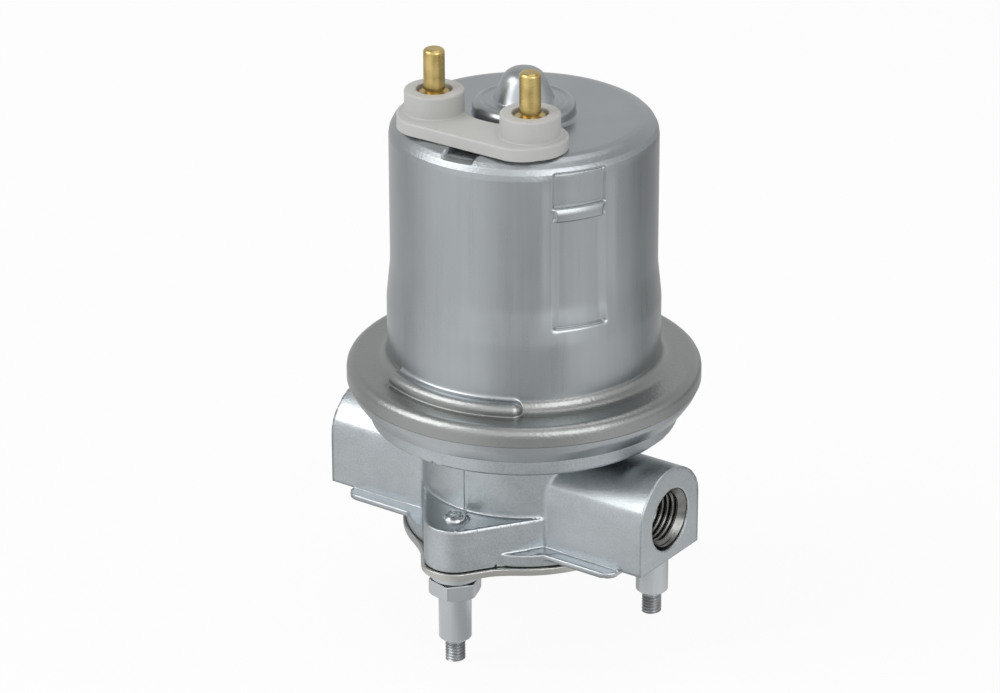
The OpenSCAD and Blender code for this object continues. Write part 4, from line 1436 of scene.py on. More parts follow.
@dataclass
class MotorCan:
    """The drawn steel can, its pressed panel, its flange and the clamp ring.

    Attributes:
        radius: Outside radius of the can.
        top: Height of the can's flat top.
        corner: Radius of its upper edge.
        dome: Height of the dome's tip.
        wall: Thickness of the sheet.
        skirt: Radius at the foot of the can.
        rim: Radius of the rolled edge.
        foot: Height of the rolled edge's lower end.
        panel: The panel in its side.
        flat: The flat in its upper edge.
        rib: Start and end of the rib on the flange, in degrees.
        rib_path: Radius of the rib's path round the can.
        rib_r: Radius of the rib's section.
        rib_z: Height of the section's middle.
        rib_hollow: Radius of the hollow between rib and can.
        rib_tail: Length of the rib's round nose, in degrees.
        rib_from: Radius and height past which the profile's first row under the rib lies.
        rib_to: Radius and height past which the last one lies.
    """

    radius: float = 31.58
    top: float = 105.8
    corner: float = 4.6
    dome: float = 117.15
    wall: float = 1.2
    skirt: float = 32.52
    rim: float = 42.29
    foot: float = 39.8
    panel: Panel = Panel()
    flat: EdgeFlat = EdgeFlat()
    rib: Span = (-117.0, -55.5)
    rib_path: float = 34.1
    rib_r: float = 1.9
    rib_z: float = 45.6
    rib_hollow: float = 0.9
    rib_tail: float = 4.2
    rib_from: Span = (32.0, 48.7)
    rib_to: Span = (37.4, 46.0)

    def path(self) -> list[Triple]:
        """Return the outer profile from the dome's tip to the rolled edge.

        Returns:
            Radius, height and corner radius of each point.
        """
        return [
            (0, self.dome, 0),
            (4.3, self.dome, 4.4),
            (7.2, 109.6, 0.7),
            (9.1, 109.6, 0.5),
            (9.7, 109.35, 0.5),
            (10.3, 109.6, 0.5),
            (12.1, 109.6, 1.7),
            (12.1, self.top, 0.9),
            (self.radius, self.top, self.corner),
            (self.radius, 69.5, 24),
            (self.skirt, 60.5, 24),
            (self.skirt, 44.62, 2.8),
            (38.0, 44.48, 6),
            (self.rim, 44.48, 2.3),
            (self.rim, self.foot, 0),
        ]

    def inner_path(self) -> list[Triple]:
        """Return the inner profile from the rolled edge to the dome's tip.

        Returns:
            Radius, height and corner radius of each point.
        """
        under = self.top - self.wall
        return [
            (41.1, self.foot, 0),
            (41.1, 43.3, 1.1),
            (31.2, 43.3, 4.0),
            (31.2, 62.6, 6),
            (30.55, 66, 6),
            (30.55, under, 3.4),
            (10.9, under, 1.4),
            (10.9, 108.4, 0.6),
            (6.0, 108.4, 1.9),
            (3.3, self.dome - self.wall, 3.2),
            (0, self.dome - self.wall, 0),
        ]

    def row_step(self, radius: float, height: float) -> float:
        """Return how far apart the rows lie at a place of the profile.

        Args:
            radius: The place's radius.
            height: Its height.

        Returns:
            The distance, small at the panel's creases and ends and at the upper edge.
        """
        on_side = radius > self.radius - 0.58
        edge, flange, panel_ends = (101.1, 104.3), 49, ((63.2, 65.8), (90.2, 95.2))
        if on_side and any(abs(height - at) < 0.4 for at, _ in self.panel.creases):
            return 0.1
        if radius > 24 and height > edge[0]:
            return 0.26 if height < edge[1] else 0.34
        if on_side and any(low < height < high for low, high in panel_ends):
            return 0.2
        return 0.34 if height < flange else 1.5

    def rows(self) -> np.ndarray:
        """Return the outer profile with rows close enough for every detail.

        Returns:
            Radius and height of each row.
        """
        line = np.array(rounded(self.path(), 5))
        marks = [line[0]]
        for a, b in zip(line[:-1], line[1:]):
            here = a
            while True:
                step = self.row_step(*here)
                left = np.linalg.norm(b - here)
                if left <= step * 1.3:
                    marks.append(b)
                    break
                here = here + (b - here) * step / left
                marks.append(here)
        return np.array(marks)

    def column_step(self, angle: float) -> float:
        """Return how far apart the columns lie at an angle.

        Args:
            angle: The angle in degrees.

        Returns:
            The step in degrees, small at the edges of the panel, the rib and the flat.
        """
        off = abs(angle - self.panel.at)
        start, end = self.rib
        edges = ((start - 1, start + 1), (end - 6, end + 1), (-93.8, -91.4), (-80.0, -77.2))
        panel_edge, panel_end, rib_span = (8.9, 13.3), 19, (-126, -50)
        if panel_edge[0] < off < panel_edge[1] or any(low < angle < high for low, high in edges):
            return 0.3
        if off < panel_end:
            return 0.7
        return 1.0 if rib_span[0] < angle < rib_span[1] else 1.6

    def angles(self) -> np.ndarray:
        """Return the angles of the columns, in degrees, close together near the details.

        Returns:
            The angles.
        """
        marks, here = [], -180.0
        while here < 180 - 0.4:
            marks.append(here)
            here += self.column_step(here)
        return np.array(marks)

    def pressed(self, p: np.ndarray, angle: np.ndarray) -> np.ndarray:
        """Press the panel into the side and the flat into the upper edge.

        Args:
            p: Points on the plain can.
            angle: Their angles in degrees.

        Returns:
            The moved points.
        """
        half = self.panel.half * math.radians(1) * self.radius
        off = np.abs(angle - self.panel.at) * math.radians(1) * self.radius - half
        on_side = (np.hypot(p[:, 0], p[:, 1]) > self.panel.outside) & (p[:, 2] > self.panel.above)
        depth = np.where(on_side, self.panel.sink(off, p[:, 2]), 0)
        p = p - ring_points(depth, np.radians(angle), 0)
        flat, lean = self.flat, math.radians(self.flat.lean)
        up = np.array([0, -math.sin(lean), math.cos(lean)])
        middle = np.array([0, self.corner - self.radius, self.top - self.corner])
        over = (p - middle) @ up - (self.corner - flat.drop)
        mask = smooth(*flat.left, p[:, 0]) * (1 - smooth(*flat.right, p[:, 0]))
        mask = mask * smooth(*flat.front, p[:, 1]) * (p[:, 2] > flat.above)
        return p - np.maximum(over, 0)[:, None] * mask[:, None] * up

    def ribbed(self, line: np.ndarray) -> tuple[np.ndarray, slice]:
        """Carry the profile over the rib on the flange.

        Args:
            line: The plain profile.

        Returns:
            The profile over the rib, and the rows that it changes.
        """
        middle, r, hollow = self.rib_path, self.rib_r, self.rib_hollow
        ends = (self.rib_from, self.rib_to)
        first, last = (int(np.argmax((line[:, 0] > out) & (line[:, 1] < up))) for out, up in ends)
        across = middle - self.skirt - hollow
        lift = math.sqrt((r + hollow) ** 2 - across**2)
        lean = math.atan2(lift, -across)
        dip = np.linspace(math.pi, math.pi + lean, 14)
        arc = np.linspace(lean, -0.6, 34)[1:]
        into = np.array([self.skirt + hollow, self.rib_z + lift])
        into = into + hollow * np.column_stack([np.cos(dip), np.sin(dip)])
        over = np.array([middle, self.rib_z]) + r * np.column_stack([np.cos(arc), np.sin(arc)])
        path = np.vstack([line[first], into, over, over[-1] + np.array([0.4, -0.1]), line[last]])
        out = line.copy()
        out[first : last + 1] = respaced(path, last - first + 1)
        return out, slice(first, last + 1)

    def swell(self, lift: np.ndarray, changed: slice, angle: np.ndarray) -> np.ndarray:
        """Return how far the rib moves each point, shrinking to a round nose at its end.

        Args:
            lift: How far the whole rib moves each row of the profile.
            changed: The rows under the rib.
            angle: The angles of the columns, in degrees.

        Returns:
            The moves, by row and column.
        """
        moves = np.zeros((len(lift), len(angle), 2))
        start, end = self.rib
        place = np.linspace(0, 1, changed.stop - changed.start)
        crest = place[np.argmax(np.hypot(lift[changed, 0], lift[changed, 1]))]
        tail = np.clip((angle - end + self.rib_tail) / self.rib_tail, 0, 1)
        size = np.sqrt(1 - tail * tail) * smooth(start - 0.4, start + 0.4, angle)
        for column in np.flatnonzero(size > 0.03):
            at = crest + (place - crest) / size[column]
            for axis in (0, 1):
                move = np.interp(at, place, lift[changed, axis], left=0, right=0)
                moves[changed, column, axis] = move * size[column]
        return moves

    def shell(self) -> Shape:
        """Build the whole can as one closed shell.

        Returns:
            The can.
        """
        line = self.rows()[1:]
        over, changed = self.ribbed(line)
        plain = line.copy()
        plain[changed] = respaced(line[changed], changed.stop - changed.start)
        angle = self.angles()
        count = len(angle)
        theta = np.tile(angle, len(line))
        flat = (plain[:, None, :] + self.swell(over - plain, changed, angle)).reshape(-1, 2)
        outer = self.pressed(ring_points(flat[:, 0], np.radians(theta), flat[:, 1]), theta)
        inner = np.array(rounded(self.inner_path(), 4))[:-1]
        inner_rows = [ring_points(r, np.radians(angle), z) for r, z in inner]
        points = np.vstack([outer, *inner_rows, [[0, 0, self.dome], [0, 0, self.dome - self.wall]]])
        total = len(line) + len(inner)
        tip = total * count
        faces = sheet_faces(total, count) + fan(tip, 0, count) + fan(tip + 1, tip - count, count, True)
        return Shape(points, faces)

    def clamp(self) -> Shape:
        """Build the clamp ring under the flange.

        Returns:
            The ring.
        """
        outer = [(41.85, 39.79, 0), (41.85, 38.4, 4), (39.2, 34.55, 1.2), (37.3, 34.55, 0)]
        inner = [(37.3, 35.65, 0), (38.6, 35.65, 0.4), (40.75, 38.8, 3), (40.75, 39.79, 0)]
        line = rounded(outer, 8) + rounded(inner, 5)
        return turned(line + line[:1], 160)

    def build(self) -> None:
        """Make the can and the clamp ring."""
        self.shell().piece("can_shell", Surface.CAN, "housing", "motor_can")
        self.clamp().piece("clamp_band", Surface.CAN, "housing", "clamp_ring")


@dataclass
class PumpCasting:
    """The die-cast body with its ports, lugs and ring, and the threads in the ports.

    Attributes:
        joint: Height of the joint face.
        base: Height of the port housings' underside.
        port_y: Place of the ports' axis in front of the motor's.
        port_z: Height of the ports' axis.
        port_r: Radius of a port housing's arch.
        port_half: Half of its width.
        port_foot: Half of the width of its thin foot.
        foot_short: How much shorter the thin foot is than the port.
        foot_corner: Radius of the thin foot's corners.
        reach: Where the ports' faces are.
        thread: Radius and depth of the threaded part of a port's bore.
        duct: Radius of the duct behind it, and where it begins.
        barrel: Radius of the barrel.
        collar: Radius of the collar at the barrel's foot.
        lug_height: Height of the lugs over the joint face.
        nose: Radius of each lug's nose.
        stud_hole: Radius of the hole for a stud.
        ring: Radius, foot and top of the ring under the seat.
        seat: Radius, foot and top of the seat for the can.
        boss: Radius, foot and top of the bearing's boss.
        land: Radius, foot and top of the raised land on the ring.
        land_at: Angle of the land's middle, in degrees.
        land_half: Half of the land's angle, in degrees.
        hollows: Radius, foot and top of the rotor chamber, the seal's seat, the shaft's hole and the
            bearing's seat.
        cell: Size of the cells that the shape is cut into.
    """

    joint: float = 2.3
    base: float = 5.2
    port_y: float = -4.9
    port_z: float = 15.5
    port_r: float = 12.9
    port_half: float = 12.15
    port_foot: float = 15.45
    foot_short: float = 6.4
    foot_corner: float = 3.3
    reach: float = 45.28
    thread: Span = (7.72, 14.85)
    duct: Span = (4.2, 17.6)
    barrel: float = 24.5
    collar: float = 28.5
    lug_height: float = 10.7
    nose: float = 7.25
    stud_hole: float = 2.45
    ring: Triple = (37.0, 30.0, 36.2)
    seat: Triple = (38.9, 35.7, 42.69)
    boss: Triple = (11.5, 40, 44.8)
    land: Triple = (37.4, 30.7, 34.2)
    land_at: float = -57.2
    land_half: float = 29.2
    hollows: tuple[Triple, ...] = ((20.0, 0, 20.36), (8.0, 20, 26.36), (3.475, 20, 60), (7.6, 34.4, 60))
    cell: float = 0.68

    def port(self, side: float) -> Form:
        """Build one port along +x, with its thin foot.

        Args:
            side: Where its axis is, along y.

        Returns:
            The port as a form.
        """

        def wall(p: np.ndarray) -> np.ndarray:
            """Return the distance to the housing's arched section.

            Args:
                p: The points.

            Returns:
                The distances.
            """
            across = p[:, 1] - side
            arch = np.hypot(across, np.maximum(p[:, 2] - self.port_z, 0)) - self.port_r
            return corner_max(arch, np.abs(across) - self.port_half, 0.8)

        ends = Form(lambda p: np.maximum(p[:, 0] - self.reach, -p[:, 0]))
        low = Form(lambda p: self.base - 0.05 - p[:, 2])
        housing = Form(wall).within(ends, 0.3).within(low, 0.2)
        corner = self.foot_corner
        end_x = self.reach - self.foot_short - corner

        def foot(p: np.ndarray) -> np.ndarray:
            """Return the distance to the thin foot's outline."""
            ahead = np.maximum(np.maximum(p[:, 0] - end_x, -p[:, 0]), 0)
            return np.hypot(ahead, np.maximum(np.abs(p[:, 1] - side) - self.port_foot + corner, 0)) - corner

        return housing.join(Form.slab(foot, self.base - 1.3, self.base, 0.35, 0.25), 0.25)

    def outside(self) -> Form:
        """Return the casting's outer form, without its hollows.

        Returns:
            The form.
        """
        j = self.joint
        collar = Form.rod(self.collar, j, j + 2.9, 0.35)
        ports = self.port(self.port_y).join(self.port(-self.port_y).turn(180))
        top = j + self.lug_height
        lugs = [Form.lug(self.barrel, self.nose, reach, j, top, 0.4).turn(angle) for reach, angle in LUGS]
        body = Form.rod(self.barrel, j, 34.0).join(collar, 0.2).join(reduce(Form.join, lugs), 0.5)
        body = body.join(ports, 0.6).join(Form.rod(*self.ring, 0.2, 0.9), 1.3)
        land = Form.rod(*self.land, 0.25, 0.25).within(Form(self.land_side), 0.3)
        body = body.join(Form.rod(*self.seat, 0.3)).join(Form.rod(*self.boss, 0.3), 0.8).join(land, 0.3)
        return body.join(self.seam(), 0.15)

    def form(self) -> Form:
        """Return the whole casting as a form.

        Returns:
            The form.
        """
        body = self.outside()
        for hollow in self.hollows:
            body = body.cut(Form.rod(*hollow))
        z, (thread_r, depth), (duct_r, duct_start) = self.port_z, self.thread, self.duct
        bore = Form.bar(thread_r, z, self.reach - depth, self.reach + 5)
        bore = bore.join(Form.bar(duct_r, z, duct_start, self.reach))
        for side, turn in ((self.port_y, 0), (-self.port_y, 180)):
            body = body.cut(bore.shift(0, side).turn(turn), 0.12)
        for reach, angle in LUGS[:2]:
            body = body.cut(Form.rod(self.stud_hole, 0, 20).shift(reach, 0).turn(angle), 0.15)
        return body

    def land_side(self, p: np.ndarray) -> np.ndarray:
        """Return the distance to the raised land's sector on the ring.

        Args:
            p: The points.

        Returns:
            The distances.
        """
        angle = np.degrees(np.arctan2(p[:, 1], p[:, 0]))
        off = np.abs(angle - self.land_at) - self.land_half
        return np.radians(off) * np.hypot(p[:, 0], p[:, 1])

    def seam(self) -> Form:
        """Return the thin parting seam down the barrel and the ring, which bends across the front lug.

        Returns:
            The seam.
        """
        proud, half, middle, bend = 0.12, 0.28, math.radians(-89.6), math.radians(7.5)
        lug_top, lug_end, foot = self.joint + self.lug_height, 35.2, 12.0

        def at(p: np.ndarray) -> np.ndarray:
            """Return the distance to the seam.

            Args:
                p: The points.

            Returns:
                The distances.
            """
            r, z = np.hypot(p[:, 0], p[:, 1]), p[:, 2]
            aside = np.where(z < lug_top + 0.2, smooth(self.barrel, self.barrel + 4, r) * bend, 0)
            across = np.abs(np.arctan2(p[:, 1], p[:, 0]) - middle - aside) * r
            on_barrel = np.where(z < lug_top + proud, lug_end, self.barrel + proud)
            out = np.where(z > self.ring[1], self.ring[0] + proud, on_barrel)
            return np.maximum.reduce([across - half, r - out, foot - z, z - self.land[2]])

        return Form(at)

    def threads(self) -> None:
        """Wind the threads of both ports."""
        # The port threads take the darker copy of the casting, painted shade for the inside of the bores.
        tree = screw_thread(Surface.CUT)
        ends = (("outlet_thread", self.reach, Turn.RIGHT), ("inlet_thread", -self.reach, Turn.LEFT))
        for name, x, turn in ends:
            mesh = tree.shape(name, {"Turns": 9.4, "Columns": 480})
            place_mesh(mesh, (x, self.port_y, self.port_z), turn)
            mesh.flip_normals()
            hang_mesh(mesh, Surface.CUT, "housing")

    def build(self) -> None:
        """Make the casting and its threads."""
        shape = self.form().shape((-46.2, -39.7, 1.5), (46.2, 39.7, 46), self.cell)
        shape.piece("body_casting", Surface.CASTING, "housing", "pump_body")
        self.threads()


@dataclass
class BottomCover:
    """The stamped cover under the casting.

    Attributes:
        thickness: The sheet's thickness.
        radius: Radius of its round part.
        nose: Radius of each lug's nose.
    """

    thickness: float = 2.0
    radius: float = 29.3
    nose: float = 8.05

    def outline(self, steps: int = 720) -> np.ndarray:
        """Return the cover's outline.

        Args:
            steps: How many points go round.

        Returns:
            The radius at each step, counted from +x.
        """
        angle = np.linspace(0, 2 * math.pi, steps, endpoint=False)
        tall, lug_root, fillet = 9, 25.3, 2.0
        form = Form.rod(self.radius, -tall, tall)
        for place, lug_angle in LUGS:
            form = form.join(Form.lug(lug_root, self.nose, place, -tall, tall).turn(lug_angle), fillet)
        low, high = np.full(steps, 20.0), np.full(steps, 45.0)
        ray = ring_points(1, angle, 0)
        for _ in range(24):
            middle = (low + high) / 2
            inside = form.at(ray * middle[:, None]) < 0
            low, high = np.where(inside, middle, low), np.where(inside, high, middle)
        return low

    def edge(self) -> Outline:
        """Return the inset and height of each row, over the sharp upper and round the rolled lower edge.

        Returns:
            The rows.
        """
        t = self.thickness
        upper = [(-18.0, t), (-4.0, t), (-0.5, t), (-0.12, t - 0.02), (-0.02, t - 0.12), (0.0, t - 0.35)]
        lower = [(0.0, 1.0), (-0.03, 0.6), (-0.12, 0.34), (-0.28, 0.15), (-0.5, 0.04), (-0.75, 0.0)]
        return [*upper, *lower, (-4.0, 0), (-18.0, 0)]

    def build(self) -> None:
        """Make the cover with its rolled lower edge and sharp upper edge."""
        reach, edge = self.outline(), self.edge()
        count = len(reach)
        angle = np.linspace(0, 2 * math.pi, count, endpoint=False)
        stack = [ring_points(reach + inset, angle, z) for inset, z in edge]
        points = np.vstack([*stack, [[0, 0, self.thickness], [0, 0, 0]]])
        tip = len(edge) * count
        faces = sheet_faces(len(edge), count) + fan(tip, 0, count) + fan(tip + 1, tip - count, count, True)
        Shape(points, faces).piece("cover_plate", Surface.PLATED, "housing", "bottom_cover")


@dataclass
class Terminals:
    """The moulded insulator on the can's top; its brass posts are the nodes themselves.

    Attributes:
        post_x: Distance of each post from the middle.
        post_y: Distance of the posts in front of the axis.
        foot: Height of the plate's underside.
        plate: Thickness of the plate.
        lobe: Radius of the plate round each post.
        corner: Radius of its front corners.
        front: Where its front edge is, along y.
        side_in: How far the front corners' middles lie inside the posts.
        back: How far the plate's straight part reaches behind the posts.
        clear: Radius of the hollow in the plate's back edge, round the can's dome.
        boss: Radius of each boss.
        boss_height: Height of each boss over the underside.
        well: Radius of the well in each boss.
        well_floor: Height of the well's floor over the underside.
        hole: Radius of the hole for each post.
    """

    post_x: float = 13.48
    post_y: float = 16.762
    foot: float = 105.81
    plate: float = 3.1
    lobe: float = 8.8
    corner: float = 7.9
    front: float = -27.1
    side_in: float = 0.7
    back: float = 6.2
    clear: float = 15.35
    boss: float = 7.0
    boss_height: float = 8.5
    well: float = 4.2
    well_floor: float = 7.0
    hole: float = 2.5

    def from_posts(self, radius: float) -> Field:
        """Return the distance to a circle of that radius round either post."""
        return lambda p: np.hypot(np.abs(p[:, 0]) - self.post_x, p[:, 1] + self.post_y) - radius

    def outline(self, p: np.ndarray) -> np.ndarray:
        """Return the distance to the plate's outline.

        Args:
            p: The points.

        Returns:
            The distances.
        """
        across = np.abs(p[:, 0]) - self.post_x + self.side_in
        corner = np.hypot(across, p[:, 1] - self.front - self.corner) - self.corner
        edge = np.maximum(np.maximum(self.front - p[:, 1], across), p[:, 1] + self.post_y - self.back)
        whole = np.minimum(np.minimum(self.from_posts(self.lobe)(p), corner), edge)
        return corner_max(whole, self.clear - np.hypot(p[:, 0], p[:, 1]), 1.2)

    def form(self) -> Form:
        """Return the insulator as a form.

        Returns:
            The form.
        """
        z = self.foot
        plate = Form.slab(self.outline, z, z + self.plate, 0.55, 0.2)
        bosses = Form.slab(self.from_posts(self.boss), z + 0.1, z + self.boss_height, 0.5)
        wells = Form(self.from_posts(self.well)).within(Form(lambda p: z + self.well_floor - p[:, 2]))
        return plate.join(bosses, 0.45).cut(wells, 0.3).cut(Form(self.from_posts(self.hole)))

    def build(self) -> None:
        """Make the insulator."""
        shape = self.form().shape((-23.6, -28.4, 105.2), (23.7, -5, 115.1), 0.34)
        shape.piece("insulator_block", Surface.NYLON, "housing", "terminal_insulator")


@dataclass
class Studs:
    """The two shouldered studs, with their riveted ends and threaded tips.

    Attributes:
        hex_flats: The hexagon across its flats.
        hex_turn: Turn of the hexagon from its corner-out place, in degrees.
        nut: Foot and top of the hexagon.
        cone: Radius of the hexagon's bevel at its foot.
        washer: Radius, foot and top of the washer face.
        gap: Radius, foot and top of the groove between hexagon and washer face.
        shoulder: Radius, foot and top of the round shoulder.
        neck: Radius, foot and top of the neck under it.
        shank: Radius, foot and top of the shank in the lug.
        rivet: Height of the riveted end.
        thread: The thread's sizes, as its tree names them.
        thread_top: Height at which the thread begins.
        tip: Radius and height of each point of the turned tip.
    """

    hex_flats: float = 11.11
    hex_turn: float = 17.4
    nut: Span = (-6.2, -2.4)
    cone: float = 5.98
    washer: Triple = (5.9, -2.0, 0.0)
    gap: Triple = (4.4, -2.6, -1.8)
    shoulder: Triple = (3.95, -18.3, -6.0)
    neck: Triple = (2.05, -19.4, -18.1)
    shank: Triple = (2.41, -0.1, 13.2)
    rivet: float = 14.1
    thread: tuple[tuple[str, float], ...] = (
        ("Crest", 2.41),
        ("Root", 1.98),
        ("Pitch", 0.794),
        ("Turns", 6.7),
        ("Columns", 380),
        ("Mouth", 1.75),
        ("Inner", 0.0),
    )
    thread_top: float = -18.45
    tip: tuple[Span, ...] = ((0, -24.59), (1.5, -24.59), (1.95, -24.2), (1.98, -23.7))

    def hexagon(self, p: np.ndarray) -> np.ndarray:
        """Return the distance to the hexagon's outline.

        Args:
            p: The points.

        Returns:
            The distances.
        """
        turns = [math.radians(self.hex_turn + 30 + 60 * k) for k in range(3)]
        sides = [np.abs(p[:, 0] * math.cos(a) + p[:, 1] * math.sin(a)) for a in turns]
        return np.maximum.reduce(sides) - self.hex_flats / 2

    def form(self) -> Form:
        """Return one stud about the upright axis as a form.

        Returns:
            The form.
        """
        foot, top = self.nut
        cone = Form(lambda p: (np.hypot(p[:, 0], p[:, 1]) - self.cone - (p[:, 2] - foot)) * 0.7)
        nut = Form.slab(self.hexagon, foot, top, 0.1, 0.1).within(cone, 0.1)
        head = nut.join(Form.rod(*self.washer, 0.15, 0.3)).join(Form.rod(*self.gap))
        lower = head.join(Form.rod(*self.shoulder, 0.0, 0.5), 0.25).join(Form.rod(*self.neck))
        return lower.join(Form.rod(*self.shank, 0.3))

    def head(self) -> Shape:
        """Build the stud's riveted end, crushed into small petals.

        Returns:
            The riveted end, about the upright axis.
        """
        steps, rings, petals = 96, 14, 6
        angle = np.linspace(0, 2 * math.pi, steps, endpoint=False)
        petal = 0.5 + 0.5 * np.cos(petals * angle)
        rows = []
        for share in np.linspace(0, 1, rings):
            crushed = 0.42 * np.exp(-(((share - 0.62) / 0.2) ** 2)) * petal
            hollow = 0.25 * np.exp(-((share / 0.28) ** 2))
            height = self.rivet - 0.55 * smooth(0.75, 1, share) - crushed - hollow
            rows.append(ring_points(0.25 + 2.4 * share, angle, height))
        rows.append(ring_points(2.7, angle, self.rivet - 1.5))
        points = np.vstack([*rows, [[0, 0, self.rivet - 0.28]]])
        return Shape(points, sheet_faces(len(rows), steps) + fan(len(rows) * steps, 0, steps))

    def build(self) -> None:
        """Make both studs with their threaded tips."""
        body = self.form().shape((-6.9, -6.9, -19.9), (7.0, 7.0, 13.8), 0.2)
        # The stud threads and tips take the darker copy of the plated steel, painted shade that dulls the
        # floor's reflection at the tips.
        tree = screw_thread(Surface.ROLLED_PAINTED_SHADE)
        for side, (reach, angle) in zip(("front", "right"), LUGS):
            name = f"stud_{side}"
            x, y = reach * math.cos(math.radians(angle)), reach * math.sin(math.radians(angle))
            stud = body.moved((x, y, 0), angle)
            stud.piece(name, Surface.PLATED, "housing", f"mounting_{name}")
            self.head().moved((x, y, 0)).piece(f"{name}_rivet", Surface.PLATED, "housing")
            mesh = tree.shape(f"{name}_thread", dict(self.thread))
            place_mesh(mesh, (x, y, self.thread_top), Turn.DOWN)
            hang_mesh(mesh, Surface.ROLLED_PAINTED_SHADE, "housing")
            turned(list(self.tip), 48, (x, y, 0)).piece(f"{name}_tip", Surface.ROLLED_PAINTED_SHADE, "housing")


@dataclass
class Springs:
    """The two brush springs and the relief spring, wound from wire.

    Attributes:
        brush_x: Distance of the brush springs from the axis.
        brush_z: Height of their foot.
        brush_length: Their length.
        brush_travel: How far a brush slides; not used.
        relief_at: Place of the relief spring, along x and y.
        relief_z: Height of its foot.
        relief_length: Its length.
        relief_travel: How far the poppet lifts; not used.
    """

    brush_x: float = 9.5
    brush_z: float = 95.5
    brush_length: float = 6.1
    brush_travel: float = 3.0
    relief_at: Span = (7.65, 13.25)
    relief_z: float = 26.96
    relief_length: float = 7.5
    relief_travel: float = 2.0

    def build(self) -> None:
        """Wind the springs and give each coil its own mesh."""
        tree = wound_spring()
        length = self.brush_length
        sizes = {"Radius": 2.15, "Wire": 0.25, "Length": length}
        for side, x in (("left", -self.brush_x), ("right", self.brush_x)):
            mesh = place_mesh(tree.shape(f"brush_coil_{side}", sizes), (x, 0, self.brush_z))
            coil = hang_mesh(mesh, Surface.SPRING, "housing", f"brush_spring_{side}")
            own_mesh(coil)
        length = self.relief_length
        sizes = {"Radius": 2.75, "Wire": 0.3, "Length": length, "Turns": 7.0}
        x, y = self.relief_at
        mesh = place_mesh(tree.shape("relief_coil", sizes), (x, y, self.relief_z))
        coil = hang_mesh(mesh, Surface.SPRING, "housing", "relief_spring")
        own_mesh(coil)


@dataclass
class Nodes:
    """The solids whose shape is right as it is; they only get their finish.

    Attributes:
    """

    frame: dict[str, Any]

    def dress(self) -> None:
        """Give every node its finish."""
        by_slot = {surface.value.slot: surface for surface in reversed(Surface)}
        slots = {part["node"]: part["material_slot"] for part in self.frame["record"]["subparts"]}
        for name, node in self.frame["nodes"].items():
            surface = by_slot[slots[name]]
            node.data.materials.clear()
            node.data.materials.append(surface.value.material())
            LOG.info("%s: %s", name, surface.value.slot)


@dataclass(frozen=True)
class Patch:
    """A soft bright or dull patch in what surrounds the pump.

    Attributes:
        way: Its direction.
        edge: How nearly a direction must point its way, as a cosine, for the patch to begin and to be full.
        strength: How much brightness it adds, below zero where it takes some away.
        comes_in: Values of a second measure between which it comes in, where it has one.
    """

    way: Triple
    edge: Span
    strength: float
    comes_in: Span | None = None

    def light(self, way: Value, measure: Value | None = None) -> Value:
        """Return what the patch adds in a direction.

        Args:
            way: The direction, of length one.
            measure: The second measure, where the patch has one.

        Returns:
            The brightness.
        """
        level = way.graph.vector("DOT_PRODUCT", way, self.way).ramp(*self.edge)
        if measure is not None and self.comes_in is not None:
            level = level * measure.ramp(*self.comes_in)
        return level * self.strength


@dataclass(frozen=True)
class Lamp:
    """A soft area lamp.

    Attributes:
        name: Its name.
        place: Where it hangs, in metres.
        size: Its width and height in metres.
        power: Its power in watts.
    """

    name: str
    place: Triple
    size: Span
    power: float

    def light(self, aim: Triple = (0, 0, 0.05)) -> None:
        """Hang the lamp so that it faces a point.

        Args:
            aim: The point, in metres.
        """
        data = bpy.data.lights.new(self.name, "AREA")
        data.shape, data.energy = "RECTANGLE", self.power
        data.size, data.size_y = self.size
        lamp = bpy.data.objects.new(self.name, data)
        bpy.context.scene.collection.objects.link(lamp)
        lamp.location = self.place
        lamp.rotation_euler = (Vector(self.place) - Vector(aim)).to_track_quat("Z", "Y").to_euler()


